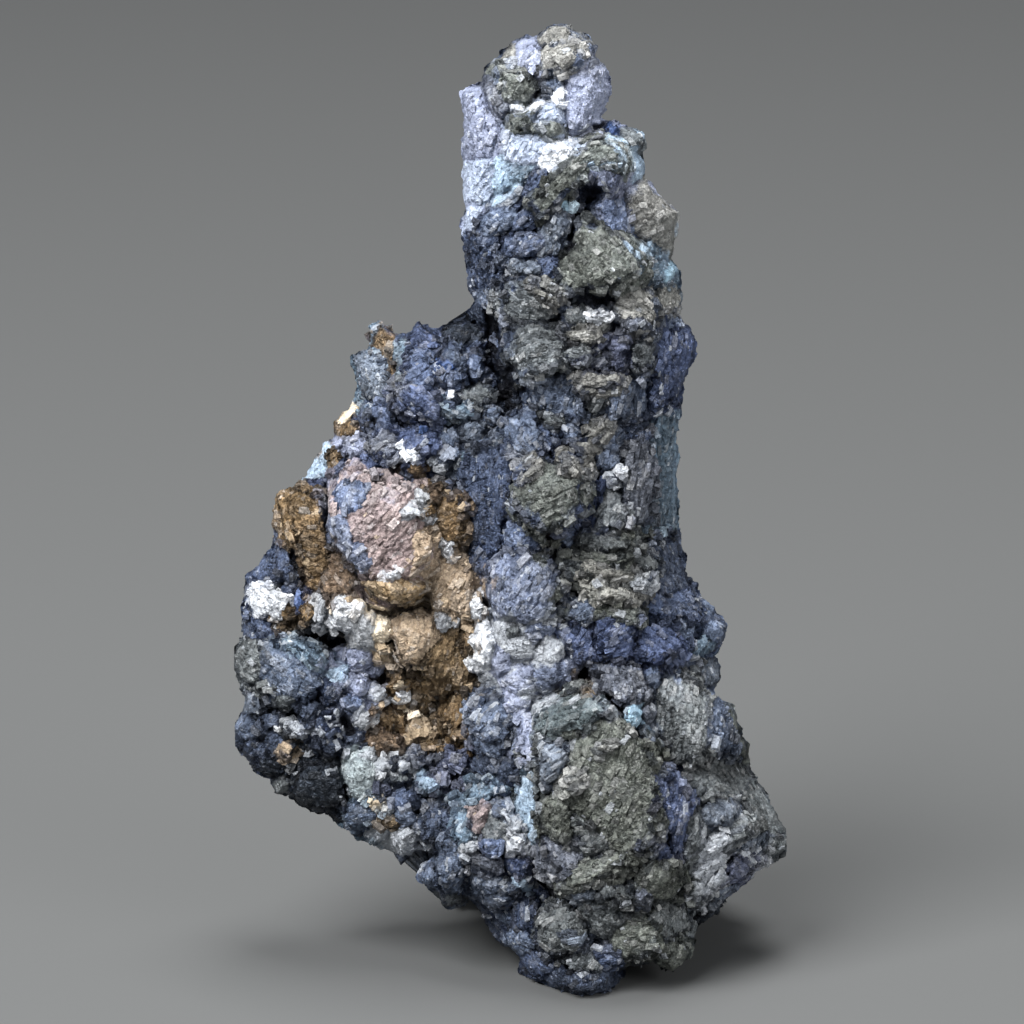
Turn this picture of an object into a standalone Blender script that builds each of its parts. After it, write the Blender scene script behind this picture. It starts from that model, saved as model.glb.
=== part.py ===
"""Chalcocite specimen: one mass of intergrown blocky crystals, standing on a small flat spot.

A tall tower carries a thinner lobe at its left. Both are lofted cores, and every crystal is a convex
faceted solid rooted in a core. All of them are joined into one closed body and cut flat underneath.

Lengths in the tables are millimetres. Places are given as the front view shows them: `across` to the
right and `up` the picture, seen from SIGHT_DOWN_DEG above the horizontal, and `depth` away from the viewer.
"""

import math
from collections import namedtuple

import bmesh
import bpy
import numpy as np
from mathutils import Matrix, Vector

# Scale and sight line
MM = 0.001
SIGHT_DOWN_DEG = 14.5
FOOT_FRONT_DEPTH = -14.0
SEED = 5

# Look of the whole stone
NODE = "chalcocite"
BASE_COLOUR = (0.17, 0.18, 0.24, 1.0)
METALLIC = 0.65
ROUGHNESS = 0.5

# Shape of the cores' cross-sections
SECTION_POWER = 2.5
SECTION_SIDES = 12
SECTION_WOBBLE = 0.06
EDGE_SHARE = 0.97

# Shape of a crystal: share of the outline that each ring keeps, and where it lies in the depth
BLOCK_RINGS = ((0.68, -0.5), (1.0, -0.26))
FACED_RINGS = ((0.74, -0.5), (1.0, -0.26))
DOME_RINGS = ((0.45, -0.5), (0.85, -0.36), (1.0, -0.1))
SLAB_RINGS = ((0.88, -0.5), (1.0, -0.3))
SHARD_RINGS = ((0.0, -0.5), (1.0, -0.1))
RINGS = {"block": BLOCK_RINGS, "dome": DOME_RINGS, "slab": SLAB_RINGS, "shard": SHARD_RINGS}
ROOT_PLACE = 0.6
OUTLINE_WOBBLE = 0.12
FACE_SHIFT = 0.12
TILT_DEG = 17.0
FACED_TILT_DEG = 7.0

# Faces this close to one plane are one face of the joined mesh
FLAT_ANGLE = math.radians(0.5)

Station = namedtuple("Station", "up left right front back")
Crystal = namedtuple("Crystal", "kind across up wide tall deep out lean sides")
Faced = namedtuple("Faced", "outline deep out")
Stack = namedtuple("Stack", "across up long pile deep out lean plates")

# The tower's core, from the tip down to the foot
TOWER = (
    Station(80.4, 1.8, 5.6, -1.5, 2.5),
    Station(78.2, -1.2, 6.4, -3.0, 4.2),
    Station(75.0, -3.2, 7.0, -4.4, 5.4),
    Station(70.0, -3.5, 9.8, -5.6, 6.6),
    Station(64.0, -3.8, 12.4, -6.2, 7.6),
    Station(58.5, -3.2, 13.4, -7.0, 8.0),
    Station(53.0, -0.8, 14.4, -7.2, 8.0),
    Station(48.0, -1.8, 13.4, -7.6, 8.4),
    Station(42.0, -4.4, 13.0, -8.2, 9.2),
    Station(35.0, -4.6, 14.4, -8.5, 10.2),
    Station(31.0, -4.6, 17.2, -9.0, 10.8),
    Station(25.0, -4.2, 17.6, -10.2, 12.4),
    Station(19.0, -4.0, 19.8, -11.2, 14.0),
    Station(12.5, -4.0, 21.8, -12.0, 15.6),
    Station(8.5, -2.6, 17.2, -12.4, 16.4),
    Station(4.5, 1.0, 13.8, -12.8, 16.6),
    Station(1.0, 2.0, 11.8, -12.8, 16.2),
)

# The lobe's core, from its top down to its lower edge
LOBE = (
    Station(56.2, -9.8, -0.6, -0.4, 3.2),
    Station(53.5, -12.6, 0.6, -2.2, 4.2),
    Station(47.5, -14.2, 1.4, -4.0, 4.8),
    Station(42.0, -19.4, 3.0, -4.6, 5.0),
    Station(36.0, -21.4, 4.0, -5.2, 5.0),
    Station(29.0, -22.8, 4.0, -5.0, 5.0),
    Station(22.0, -22.8, 4.0, -4.8, 5.4),
    Station(18.0, -19.6, 4.0, -5.6, 6.2),
    Station(14.6, -12.0, 4.0, -7.4, 8.0),
    Station(10.0, -5.2, 4.0, -8.6, 9.0),
)

# Crystals with outlines of their own, on the tower
TOWER_FACED = (
    # the largest block, low and central: its front, its pale upper bevel, its right side and its lower shingles
    Faced(((2.6, 22.6), (6.4, 24.8), (9.8, 23.2), (13.4, 18.8), (13.2, 13.4), (10.6, 10.2), (5.2, 9.8), (2.6, 14.2)),
          13.0, 4.8),
    Faced(((1.9, 20.6), (2.4, 24.2), (5.8, 26.5), (9.2, 25.2), (12.2, 22.2), (8.0, 19.4)), 11.0, 3.8),
    Faced(((11.0, 20.6), (14.9, 18.2), (14.9, 13.0), (12.8, 10.4), (10.8, 12.6)), 11.0, 3.4),
    Faced(((4.2, 10.4), (5.0, 14.4), (9.6, 15.0), (12.6, 12.0), (11.0, 9.0), (6.0, 8.4)), 11.0, 4.2),
    # the dark pentagon in the middle
    Faced(((-0.4, 43.2), (1.6, 45.6), (4.6, 45.8), (6.1, 43.2), (5.4, 40.8), (3.0, 39.2), (0.4, 40.4)), 8.0, 3.8),
    # the beige block under the tip, with its peak
    Faced(((3.4, 61.4), (4.2, 63.8), (6.3, 65.3), (9.6, 64.4), (10.9, 61.6), (9.4, 59.2), (4.8, 58.9)), 8.0, 3.2),
    # the cracked block above the long crack, in two halves
    Faced(((-1.0, 54.4), (0.4, 56.9), (3.6, 57.1), (4.8, 54.8), (4.0, 52.4), (0.6, 52.0)), 8.0, 3.0),
    Faced(((3.4, 54.6), (4.6, 56.4), (7.0, 55.6), (7.0, 53.2), (4.6, 52.6)), 6.0, 2.4),
    # the block with a corner on the right edge
    Faced(((9.4, 67.6), (12.2, 68.2), (14.2, 66.2), (13.6, 62.2), (10.8, 61.6)), 8.0, 1.8),
    # the block with a bluish side, on the lower right
    Faced(((11.8, 24.6), (13.4, 27.6), (17.6, 26.8), (18.8, 23.0), (17.2, 20.0), (12.8, 20.2)), 10.0, 2.6),
    Faced(((16.4, 26.4), (18.4, 25.0), (20.0, 21.4), (18.6, 20.0), (16.2, 21.0)), 10.0, 2.0),
    # the dark block with an olive top
    Faced(((4.8, 68.8), (6.2, 71.6), (8.6, 72.0), (9.8, 69.2), (8.4, 66.6), (5.6, 66.6)), 6.0, 2.4),
    # the tall dome of the middle column
    Faced(((-2.2, 33.6), (-1.4, 37.0), (1.0, 38.4), (3.6, 37.0), (4.4, 34.0), (3.0, 31.4), (-0.6, 31.0)), 8.0, 2.8),
)

# Crystals with outlines of their own, on the lobe
LOBE_FACED = (
    # the pillow-shaped dome, and the ledge under it
    Faced(((-15.5, 40.4), (-14.3, 43.8), (-11.4, 45.2), (-8.4, 43.6), (-6.9, 39.6), (-8.0, 36.0), (-12.6, 35.8)),
          11.0, 4.0),
    Faced(((-13.6, 37.2), (-7.0, 38.2), (-7.2, 34.8), (-10.2, 33.1), (-12.8, 34.0)), 9.0, 3.2),
    # the block at the middle of the lobe's top
    Faced(((-10.2, 52.0), (-8.8, 54.6), (-5.8, 54.6), (-4.8, 51.8), (-6.6, 49.2), (-9.4, 49.4)), 8.0, 2.6),
)

# Crystals of the tower's top
TOWER_TOP = (
    Crystal("block", 4.0, 79.2, 4.2, 3.6, 6.0, 1.8, 12, 6),
    Crystal("block", 4.4, 80.4, 3.4, 2.2, 3.4, 0.6, -8, 6),
    Crystal("block", 5.6, 79.9, 3.0, 2.4, 4.0, 0.4, -20, 5),
    Crystal("dome", 0.2, 78.0, 4.8, 5.0, 6.0, 1.0, 0, 6),
    Crystal("block", 0.9, 75.9, 3.2, 3.4, 5.0, 2.2, 6, 5),
    Crystal("slab", -2.2, 73.1, 3.6, 6.8, 6.0, 1.0, -4, 5),
    Crystal("dome", 6.2, 75.6, 4.6, 6.2, 6.0, 1.5, 6, 6),
    Crystal("block", 6.3, 78.7, 2.2, 2.6, 4.0, 0.6, 0, 5),
    Crystal("block", 3.2, 72.9, 3.0, 2.4, 4.0, 1.5, 20, 5),
    Crystal("block", 0.5, 72.4, 3.6, 3.2, 4.0, 1.4, 0, 5),
    Crystal("slab", 3.3, 70.1, 3.4, 2.6, 4.0, 1.7, 10, 5),
    Crystal("slab", -2.2, 67.2, 4.0, 6.6, 5.0, 0.8, 4, 5),
    Crystal("slab", 4.9, 69.3, 6.2, 1.3, 4.0, 2.4, 46, 4),
    Crystal("block", 9.6, 70.8, 3.2, 4.8, 6.0, 0.8, 5, 5),
    Crystal("block", 8.3, 73.2, 2.8, 2.8, 5.0, 0.8, 0, 5),
    Crystal("block", 8.4, 65.8, 3.4, 4.0, 5.0, 1.3, 10, 5),
    Crystal("block", 12.2, 60.4, 3.6, 3.4, 5.0, 1.2, 0, 5),
)

# Crystals of the tower's middle
TOWER_MIDDLE = (
    Crystal("slab", 5.3, 57.2, 3.0, 2.0, 4.0, 2.4, -12, 5),
    Crystal("slab", 7.3, 57.4, 2.2, 2.6, 4.0, 2.2, 10, 4),
    Crystal("dome", 10.2, 57.3, 5.0, 5.0, 7.0, 2.8, 0, 6),
    Crystal("block", 10.6, 53.8, 4.4, 3.6, 6.0, 1.8, 0, 6),
    Crystal("slab", 14.0, 54.2, 3.4, 8.8, 8.0, 0.6, -2, 5),
    Crystal("slab", 13.2, 45.4, 2.4, 16.0, 6.0, 0.5, 1, 4),
    Crystal("slab", 3.4, 50.6, 5.4, 4.0, 5.0, 1.2, 2, 5),
    Crystal("slab", 9.6, 50.4, 3.8, 3.8, 5.0, 1.4, 6, 5),
    Crystal("block", 6.8, 47.8, 3.0, 3.4, 4.0, 1.5, 0, 5),
    Crystal("dome", 0.7, 47.9, 4.0, 4.4, 6.0, 1.8, 0, 6),
    Crystal("slab", 9.0, 44.1, 1.6, 3.8, 4.0, 1.8, -8, 4),
    Crystal("slab", 11.2, 43.6, 2.8, 8.0, 5.0, 1.2, -2, 5),
    Crystal("slab", 7.3, 43.4, 2.4, 5.8, 5.0, 1.0, 3, 5),
    Crystal("dome", 0.7, 39.2, 4.4, 3.8, 6.0, 1.5, 0, 6),
    Crystal("slab", 13.6, 36.0, 3.8, 7.4, 7.0, 0.9, -22, 5),
    Crystal("slab", 5.9, 30.3, 4.4, 4.6, 6.0, 1.2, 8, 5),
    Crystal("slab", 9.3, 30.2, 4.2, 4.8, 6.0, 1.4, 0, 5),
    Crystal("slab", 12.7, 30.4, 4.4, 5.0, 6.0, 1.2, -6, 5),
    Crystal("block", 16.2, 32.4, 3.2, 3.4, 6.0, 0.8, 0, 5),
    Crystal("block", 16.9, 29.6, 2.8, 3.0, 6.0, 0.8, 0, 5),
)

# Crystals of the tower's foot and of its lower right
TOWER_FOOT = (
    Crystal("block", -0.6, 30.0, 3.8, 3.6, 5.0, 1.5, 10, 5),
    Crystal("block", 2.8, 29.6, 4.0, 3.6, 5.0, 1.6, -8, 6),
    Crystal("block", -0.2, 27.0, 3.6, 3.4, 5.0, 1.6, 0, 6),
    Crystal("block", 2.9, 26.4, 3.6, 3.6, 5.0, 1.7, 14, 5),
    Crystal("block", 12.1, 27.5, 3.0, 3.6, 5.0, 1.6, 0, 5),
    Crystal("block", 10.4, 24.2, 2.6, 2.4, 5.0, 3.4, 0, 5),
    Crystal("block", 18.0, 17.6, 7.6, 6.0, 11.0, 1.8, -14, 6),
    Crystal("dome", 17.4, 15.4, 3.6, 3.2, 6.0, 2.4, 0, 6),
    Crystal("block", 0.9, 16.3, 3.2, 6.6, 7.0, 1.2, 2, 5),
    Crystal("slab", 1.5, 21.4, 2.6, 5.6, 6.0, 1.9, 0, 5),
    Crystal("block", -1.5, 22.8, 4.4, 6.2, 8.0, 2.4, 4, 6),
    Crystal("block", -0.6, 18.8, 3.2, 3.0, 5.0, 2.1, 0, 5),
    Crystal("block", -3.2, 19.2, 3.0, 3.0, 5.0, 1.8, 8, 5),
    Crystal("block", -1.6, 12.9, 3.6, 3.8, 8.0, 4.2, 20, 6),
    Crystal("slab", -2.7, 15.6, 4.0, 3.4, 7.0, 3.0, 32, 5),
    Crystal("slab", 0.1, 14.6, 3.0, 4.2, 7.0, 2.8, -28, 5),
    Crystal("slab", -3.6, 11.6, 3.0, 4.4, 7.0, 2.4, 8, 5),
    Crystal("block", 0.6, 10.8, 3.2, 3.4, 7.0, 2.4, 0, 5),
    Crystal("block", -2.0, 9.0, 4.4, 3.4, 7.0, 2.0, -10, 6),
    Crystal("block", 4.6, 5.8, 6.8, 5.2, 9.0, 1.9, 6, 6),
    Crystal("block", 5.6, 2.2, 7.6, 4.6, 8.0, 1.4, -4, 6),
    Crystal("block", 11.0, 6.4, 6.8, 5.4, 9.0, 1.8, 14, 6),
    Crystal("block", 12.8, 4.6, 4.6, 4.4, 7.0, 0.9, 0, 5),
)

# Crystals of the lobe
LOBE_CRYSTALS = (
    Crystal("block", -7.9, 55.0, 3.8, 3.8, 5.0, 0.9, 10, 5),
    Crystal("dome", -4.0, 55.2, 4.2, 4.0, 5.0, 0.8, 0, 6),
    Crystal("shard", -4.7, 53.2, 3.8, 3.8, 6.0, 2.8, 0, 5),
    Crystal("block", -3.6, 49.8, 4.0, 5.2, 6.0, 1.6, 0, 5),
    Crystal("block", -11.0, 55.2, 3.6, 3.4, 5.0, 0.2, 0, 5),
    Crystal("block", -13.6, 48.9, 2.8, 3.2, 5.0, 0.4, 0, 5),
    Crystal("slab", -16.2, 45.0, 3.4, 2.8, 4.0, 0.5, 28, 4),
    Crystal("slab", -17.8, 38.6, 5.0, 9.8, 7.0, 1.2, 10, 5),
    Crystal("slab", -19.2, 38.8, 1.6, 8.0, 6.0, 1.3, 14, 4),
    Crystal("block", -15.8, 42.6, 4.0, 4.0, 5.0, 1.2, 0, 5),
    Crystal("block", -12.0, 46.8, 4.4, 4.4, 6.0, 1.5, 8, 5),
    Crystal("block", -8.4, 46.2, 4.4, 4.2, 6.0, 1.8, 0, 6),
    Crystal("block", -5.3, 45.6, 4.0, 4.8, 6.0, 1.6, -8, 5),
    Crystal("block", -5.2, 41.0, 4.0, 4.8, 6.0, 1.9, 0, 6),
    Crystal("slab", -5.2, 35.6, 4.0, 8.8, 6.0, 1.3, 4, 5),
    Crystal("block", -7.7, 30.2, 4.8, 5.0, 7.0, 2.4, 8, 6),
    Crystal("slab", -13.8, 32.6, 8.2, 2.4, 6.0, 2.4, -14, 4),
    Crystal("dome", -20.8, 33.6, 4.2, 4.2, 6.0, 1.0, 0, 6),
    Crystal("block", -20.4, 37.0, 4.0, 4.2, 6.0, 0.4, 0, 5),
    Crystal("dome", -21.8, 28.4, 4.2, 5.6, 7.0, 0.9, 0, 6),
    Crystal("block", -17.8, 27.3, 6.0, 5.8, 7.0, 2.0, -10, 6),
    Crystal("slab", -16.8, 29.8, 3.2, 1.4, 5.0, 2.9, 24, 4),
    Crystal("block", -20.8, 24.6, 3.8, 3.8, 6.0, 1.2, 0, 6),
    Crystal("block", -13.4, 25.6, 4.2, 5.2, 6.0, 1.5, 0, 5),
    Crystal("block", -13.0, 21.0, 4.2, 4.4, 6.0, 1.8, 12, 6),
    Crystal("block", -9.9, 20.0, 3.4, 3.0, 5.0, 1.6, 0, 5),
    Crystal("block", -7.0, 19.4, 3.2, 3.0, 5.0, 1.7, 0, 5),
    Crystal("block", -9.4, 16.4, 3.6, 3.6, 6.0, 1.8, 0, 5),
    Crystal("block", -5.8, 16.4, 4.0, 3.8, 6.0, 1.8, 0, 6),
    Crystal("block", -5.8, 11.2, 4.4, 7.2, 8.0, 2.2, 8, 6),
    Crystal("block", -17.0, 19.2, 5.2, 4.8, 6.0, 1.4, 8, 6),
    Crystal("block", -16.8, 23.0, 4.6, 4.0, 6.0, 1.7, 0, 6),
    Crystal("block", -12.6, 16.4, 3.8, 3.6, 5.0, 1.3, 0, 5),
)

# Ridged masses: thin plates side by side, along the given lean
TOWER_STACKS = (
    Stack(0.9, 64.6, 8.6, 6.6, 5.0, 1.6, 62, 4),
    Stack(1.4, 59.2, 5.4, 3.4, 5.0, 2.0, 14, 2),
    Stack(7.0, 51.4, 4.2, 3.4, 4.5, 1.9, -6, 2),
    Stack(8.3, 36.6, 8.0, 9.2, 7.0, 1.8, 3, 5),
    Stack(9.1, 26.9, 4.2, 4.4, 6.0, 2.2, 88, 3),
    Stack(19.2, 11.8, 8.4, 5.4, 9.0, 1.0, 24, 4),
)
LOBE_STACKS = (
    Stack(-12.0, 52.0, 5.2, 3.2, 5.0, 0.4, 72, 2),
    Stack(-2.1, 42.8, 9.0, 3.6, 6.0, 2.8, 88, 3),
    Stack(-5.0, 28.4, 6.0, 3.4, 5.0, 1.6, 84, 2),
)

# Hollows cut into the front
LOBE_HOLLOWS = (
    Crystal("dome", -7.6, 25.0, 7.8, 5.8, 6.0, 1.6, -8, 7),
    Crystal("dome", -15.4, 30.7, 4.0, 2.6, 7.0, 2.6, 0, 6),
)
TOWER_HOLLOWS = (
    Crystal("dome", 3.2, 9.2, 4.0, 2.4, 7.0, 3.2, 10, 6),
    Crystal("dome", 3.9, 38.4, 1.8, 2.6, 5.0, 2.6, 0, 5),
    Crystal("dome", 6.1, 27.4, 2.2, 2.8, 5.0, 1.8, 0, 5),
)

# The tip at the lower right, reaching past the core
RIGHT_TIP = (
    Crystal("block", 20.9, 14.4, 5.8, 5.2, 9.0, 1.3, -26, 6),
    Crystal("block", 22.4, 12.4, 4.6, 3.0, 7.0, 1.0, -16, 5),
    Crystal("block", 20.2, 11.2, 4.0, 3.2, 7.0, 0.8, -20, 5),
)

# Druse of small crystals, along lines on the lobe's lower left edge
DRUSE_LINES = (
    ((-22.4, 24.2), (-22.0, 21.4), (-20.0, 18.2), (-16.6, 16.2), (-13.6, 14.4), (-8.6, 11.4)),
    ((-19.4, 21.4), (-15.4, 17.4), (-10.8, 14.6)),
)
DRUSE_STEP = 2.1
DRUSE_SIZE = (1.9, 3.0)
DRUSE_OUT = (0.4, 1.1)

# Blocks of the sides and the back, over each core
BACK_BLOCKS = {"tower": 32, "lobe": 15}
BACK_SIZE = (7.0, 12.5)
BACK_SIZE_SHARE = 1.6
BACK_OUT = (0.6, 1.9)
BACK_SINK_AT_SIDES = 0.9
BACK_SIDES = (5, 7)
BACK_ARC_DEG = (-8.0, 188.0)
BACK_END_GAPS = (3.0, 4.0)

# Blocks at the back of the foot, which steady the stone: place on the floor, width and height
HEEL = (
    (-1.0, 13.2, 8.6, 6.5),
    (4.8, 13.6, 9.6, 10.0),
    (10.4, 11.8, 9.0, 7.0),
)
HEEL_SIDES = 6
HEEL_RINGS = ((0.92, 0.0), (1.0, 0.55), (0.72, 1.0))
BELOW_FLOOR = 3.0
CUTTER_REACH = 60.0


def height_of(up, depth):
    """Height above the floor of what is seen `up` the picture and lies at `depth`."""
    sight = math.radians(SIGHT_DOWN_DEG)
    return (up - (depth - FOOT_FRONT_DEPTH) * math.sin(sight)) / math.cos(sight)


class Core:
    """A lofted core: rings of superellipse sections, whose extents follow the stations."""

    def __init__(self, stations):
        rows = sorted(stations, key=lambda station: station.up)
        middles = [(row.front + row.back) / 2 for row in rows]
        self.heights = [height_of(row.up, middle) for row, middle in zip(rows, middles)]
        self.rows = rows

    def section(self, height):
        """Centre and half extents of the section at a height."""
        left, right, front, back = (
            float(np.interp(height, self.heights, [getattr(row, name) for row in self.rows]))
            for name in ("left", "right", "front", "back")
        )
        return (left + right) / 2, (front + back) / 2, (right - left) / 2, (back - front) / 2

    def ring_point(self, height, angle):
        """Point of the section at an angle, 0 to the right and a quarter turn to the back."""
        middle_x, middle_y, half_x, half_y = self.section(height)
        power = 2.0 / SECTION_POWER
        cosine = math.cos(angle)
        sine = math.sin(angle)
        x = middle_x + half_x * math.copysign(abs(cosine) ** power, cosine)
        y = middle_y + half_y * math.copysign(abs(sine) ** power, sine)
        return Vector((x, y, height))

    def seen_point(self, across, up):
        """Where the line of sight meets the core's front, and how far that face turns from the viewer."""
        depth = self.section(up)[1]
        for _ in range(6):
            height = height_of(up, depth)
            middle_x, middle_y, half_x, half_y = self.section(height)
            share = max(-EDGE_SHARE, min(EDGE_SHARE, (across - middle_x) / half_x))
            bulge = (1.0 - abs(share) ** SECTION_POWER) ** (1.0 / SECTION_POWER)
            depth = middle_y - half_y * bulge
        slope_x = math.copysign(abs(share) ** (SECTION_POWER - 1.0), share) / half_x
        slope_y = bulge ** (SECTION_POWER - 1.0) / half_y
        return depth, math.atan2(slope_x, slope_y)


def new_object(name, bm):
    """A mesh object from a bmesh, with triangles only and its faces outward."""
    bmesh.ops.triangulate(bm, faces=bm.faces[:])
    bmesh.ops.recalc_face_normals(bm, faces=bm.faces[:])
    mesh = bpy.data.meshes.new(name)
    bm.to_mesh(mesh)
    bm.free()
    obj = bpy.data.objects.new(name, mesh)
    bpy.context.scene.collection.objects.link(obj)
    return obj


def hull_object(name, points):
    """The convex solid around a set of points."""
    bm = bmesh.new()
    for point in points:
        bm.verts.new(point)
    hull = bmesh.ops.convex_hull(bm, input=bm.verts[:])
    inside = [item for item in hull["geom_interior"] if isinstance(item, bmesh.types.BMVert)]
    bmesh.ops.delete(bm, geom=inside, context="VERTS")
    return new_object(name, bm)


def core_object(name, core, rng):
    """The core's loft, with rings a little out of true."""
    bm = bmesh.new()
    rings = []
    turn = 2.0 * math.pi / SECTION_SIDES
    for index, height in enumerate(core.heights):
        centre = Vector((*core.section(height)[:2], height))
        ring = []
        for side in range(SECTION_SIDES):
            point = core.ring_point(height, turn * (side + 0.5 * (index % 2)))
            reach = 1.0 + rng.uniform(-SECTION_WOBBLE, SECTION_WOBBLE)
            ring.append(bm.verts.new(centre + (point - centre) * reach))
        rings.append(ring)
    for index, (lower, upper) in enumerate(zip(rings, rings[1:])):
        for side in range(SECTION_SIDES):
            after = (side + 1) % SECTION_SIDES
            if index % 2:
                bm.faces.new((lower[side], lower[after], upper[side]))
                bm.faces.new((lower[after], upper[after], upper[side]))
            else:
                bm.faces.new((lower[side], lower[after], upper[after]))
                bm.faces.new((lower[side], upper[after], upper[side]))
    bm.faces.new(rings[0])
    bm.faces.new(rings[-1])
    return new_object(name, bm)


def ring_outline(wide, tall, sides, rng):
    """A polygon of uneven sides inside an ellipse."""
    step = 2.0 * math.pi / sides
    angles = step * (np.arange(sides) + rng.uniform(0.0, 1.0) + rng.uniform(-OUTLINE_WOBBLE, OUTLINE_WOBBLE, sides))
    reach = 1.0 + rng.uniform(-OUTLINE_WOBBLE, OUTLINE_WOBBLE, sides)
    return np.stack([np.cos(angles) * reach * wide / 2, np.sin(angles) * reach * tall / 2], axis=1)


def ringed_points(outline, deep, rings, rng):
    """Rings of one outline, set behind each other, and the root they taper to: x across, y deep, z up."""
    size = outline.max(axis=0) - outline.min(axis=0)
    points = []
    for share, place in rings:
        shift = rng.uniform(-FACE_SHIFT, FACE_SHIFT, 2) * size * (1.0 - share)
        ring = outline * share + shift if share else shift[None, :]
        points += [Vector((x, place * deep, z)) for x, z in ring]
    points.append(Vector((0.0, ROOT_PLACE * deep, 0.0)))
    return points


def set_in_place(points, centre, turn, lean, tilts):
    """Points leant in the picture's plane, tilted a little, turned about the upright and moved to their centre."""
    lean_turn = Matrix.Rotation(-lean, 4, "Y")
    tilt_turn = Matrix.Rotation(tilts[0], 4, "X") @ Matrix.Rotation(tilts[1], 4, "Z")
    place = Matrix.Translation(centre) @ Matrix.Rotation(turn, 4, "Z") @ tilt_turn @ lean_turn
    return [place @ point for point in points]


def random_tilts(limit_deg, rng):
    """Two small angles, about the across and upright axes."""
    limit = math.radians(limit_deg)
    return rng.uniform(-limit, limit, 2)


def seat(core, across, up, deep, out):
    """Centre and turn of a crystal whose front stands `out` from the core's seen surface."""
    depth, turn = core.seen_point(across, up)
    reach = deep / 2 - out
    centre_depth = depth + reach * math.cos(turn)
    centre = Vector((across - reach * math.sin(turn), centre_depth, height_of(up, centre_depth)))
    return centre, turn


def crystal_object(name, row, core, rng):
    """One crystal of a table, rooted in its core."""
    outline = ring_outline(row.wide, row.tall, row.sides, rng)
    points = ringed_points(outline, row.deep, RINGS[row.kind], rng)
    centre, turn = seat(core, row.across, row.up, row.deep, row.out)
    tilts = random_tilts(TILT_DEG, rng)
    return hull_object(name, set_in_place(points, centre, turn, math.radians(row.lean), tilts))


def faced_object(name, row, core, rng):
    """One crystal whose outline is given point by point."""
    outline = np.array(row.outline)
    middle = (outline.max(axis=0) + outline.min(axis=0)) / 2
    points = ringed_points(outline - middle, row.deep, FACED_RINGS, rng)
    depth = core.seen_point(*middle)[0]
    centre_depth = depth - row.out + row.deep / 2
    centre = Vector((middle[0], centre_depth, height_of(middle[1], centre_depth)))
    tilts = random_tilts(FACED_TILT_DEG, rng)
    return hull_object(name, set_in_place(points, centre, 0.0, 0.0, tilts))


def stack_objects(name, row, core, rng):
    """Plates side by side across the lean, each a little out of line with the next."""
    lean = math.radians(row.lean)
    pitch = row.pile / row.plates
    made = []
    for index in range(row.plates):
        offset = (index - (row.plates - 1) / 2) * pitch
        slide = rng.uniform(-0.12, 0.12) * row.long
        across = row.across - offset * math.sin(lean) + slide * math.cos(lean)
        up = row.up + offset * math.cos(lean) + slide * math.sin(lean)
        out = row.out + rng.uniform(-0.35, 0.35)
        plate = Crystal("slab", across, up, row.long, pitch * 1.3, row.deep, out, row.lean, 4)
        made.append(crystal_object(f"{name}_{index}", plate, core, rng))
    return made


def druse_objects(core, rng):
    """Small pointed crystals set at random beside the druse's lines."""
    made = []
    for line, points in enumerate(DRUSE_LINES):
        path = np.array(points)
        legs = np.linalg.norm(np.diff(path, axis=0), axis=1)
        places = np.arange(0.0, legs.sum(), DRUSE_STEP)
        along = np.concatenate([[0.0], np.cumsum(legs)])
        for index, place in enumerate(places):
            across = np.interp(place, along, path[:, 0]) + rng.uniform(-0.7, 0.7)
            up = np.interp(place, along, path[:, 1]) + rng.uniform(-0.7, 0.7)
            size = rng.uniform(*DRUSE_SIZE)
            kind = "shard" if index % 2 else "block"
            lean = rng.uniform(-40.0, 40.0)
            row = Crystal(kind, across, up, size, size, size * 1.8, rng.uniform(*DRUSE_OUT), lean, 5)
            made.append(crystal_object(f"druse_{line}_{index}", row, core, rng))
    return made


def back_objects(name, core, count, rng):
    """Blocks spread evenly over a core's sides and back by a golden-angle spiral."""
    made = []
    low = core.heights[0] + BACK_END_GAPS[0]
    high = core.heights[-1] - BACK_END_GAPS[1]
    first, last = (math.radians(angle) for angle in BACK_ARC_DEG)
    golden = (math.sqrt(5.0) - 1.0) / 2.0
    for index in range(count):
        height = low + (high - low) * (index + 0.5) / count
        angle = first + (last - first) * ((index * golden) % 1.0)
        size = np.array([rng.uniform(*BACK_SIZE), rng.uniform(*BACK_SIZE)])
        half_x, half_y = core.section(height)[2:]
        size = np.minimum(size, BACK_SIZE_SHARE * min(half_x, half_y))
        deep = float(size.mean())
        surface = core.ring_point(height, angle)
        middle = Vector((*core.section(height)[:2], height))
        outward = (surface - middle).normalized()
        turn = math.atan2(outward.x, -outward.y)
        facing = max(0.0, math.sin(angle))
        out = rng.uniform(*BACK_OUT) * facing - BACK_SINK_AT_SIDES * (1.0 - facing)
        centre = surface - outward * (deep / 2 - out)
        sides = int(rng.integers(*BACK_SIDES))
        kind = "dome" if index % 4 == 0 else "block"
        points = ringed_points(ring_outline(*size, sides, rng), deep, RINGS[kind], rng)
        lean = math.radians(rng.uniform(-30.0, 30.0))
        tilts = random_tilts(TILT_DEG, rng)
        made.append(hull_object(f"{name}_{index}", set_in_place(points, centre, turn, lean, tilts)))
    return made


def heel_objects(rng):
    """Upright blocks through the floor, narrower on top."""
    made = []
    for index, (x, y, wide, tall) in enumerate(HEEL):
        outline = ring_outline(wide, wide, HEEL_SIDES, rng)
        points = []
        for share, place in HEEL_RINGS:
            height = -BELOW_FLOOR + place * (tall + BELOW_FLOOR)
            points += [Vector((x + side * share, y + deep * share, height)) for side, deep in outline]
        made.append(hull_object(f"heel_{index}", points))
    return made


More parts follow.
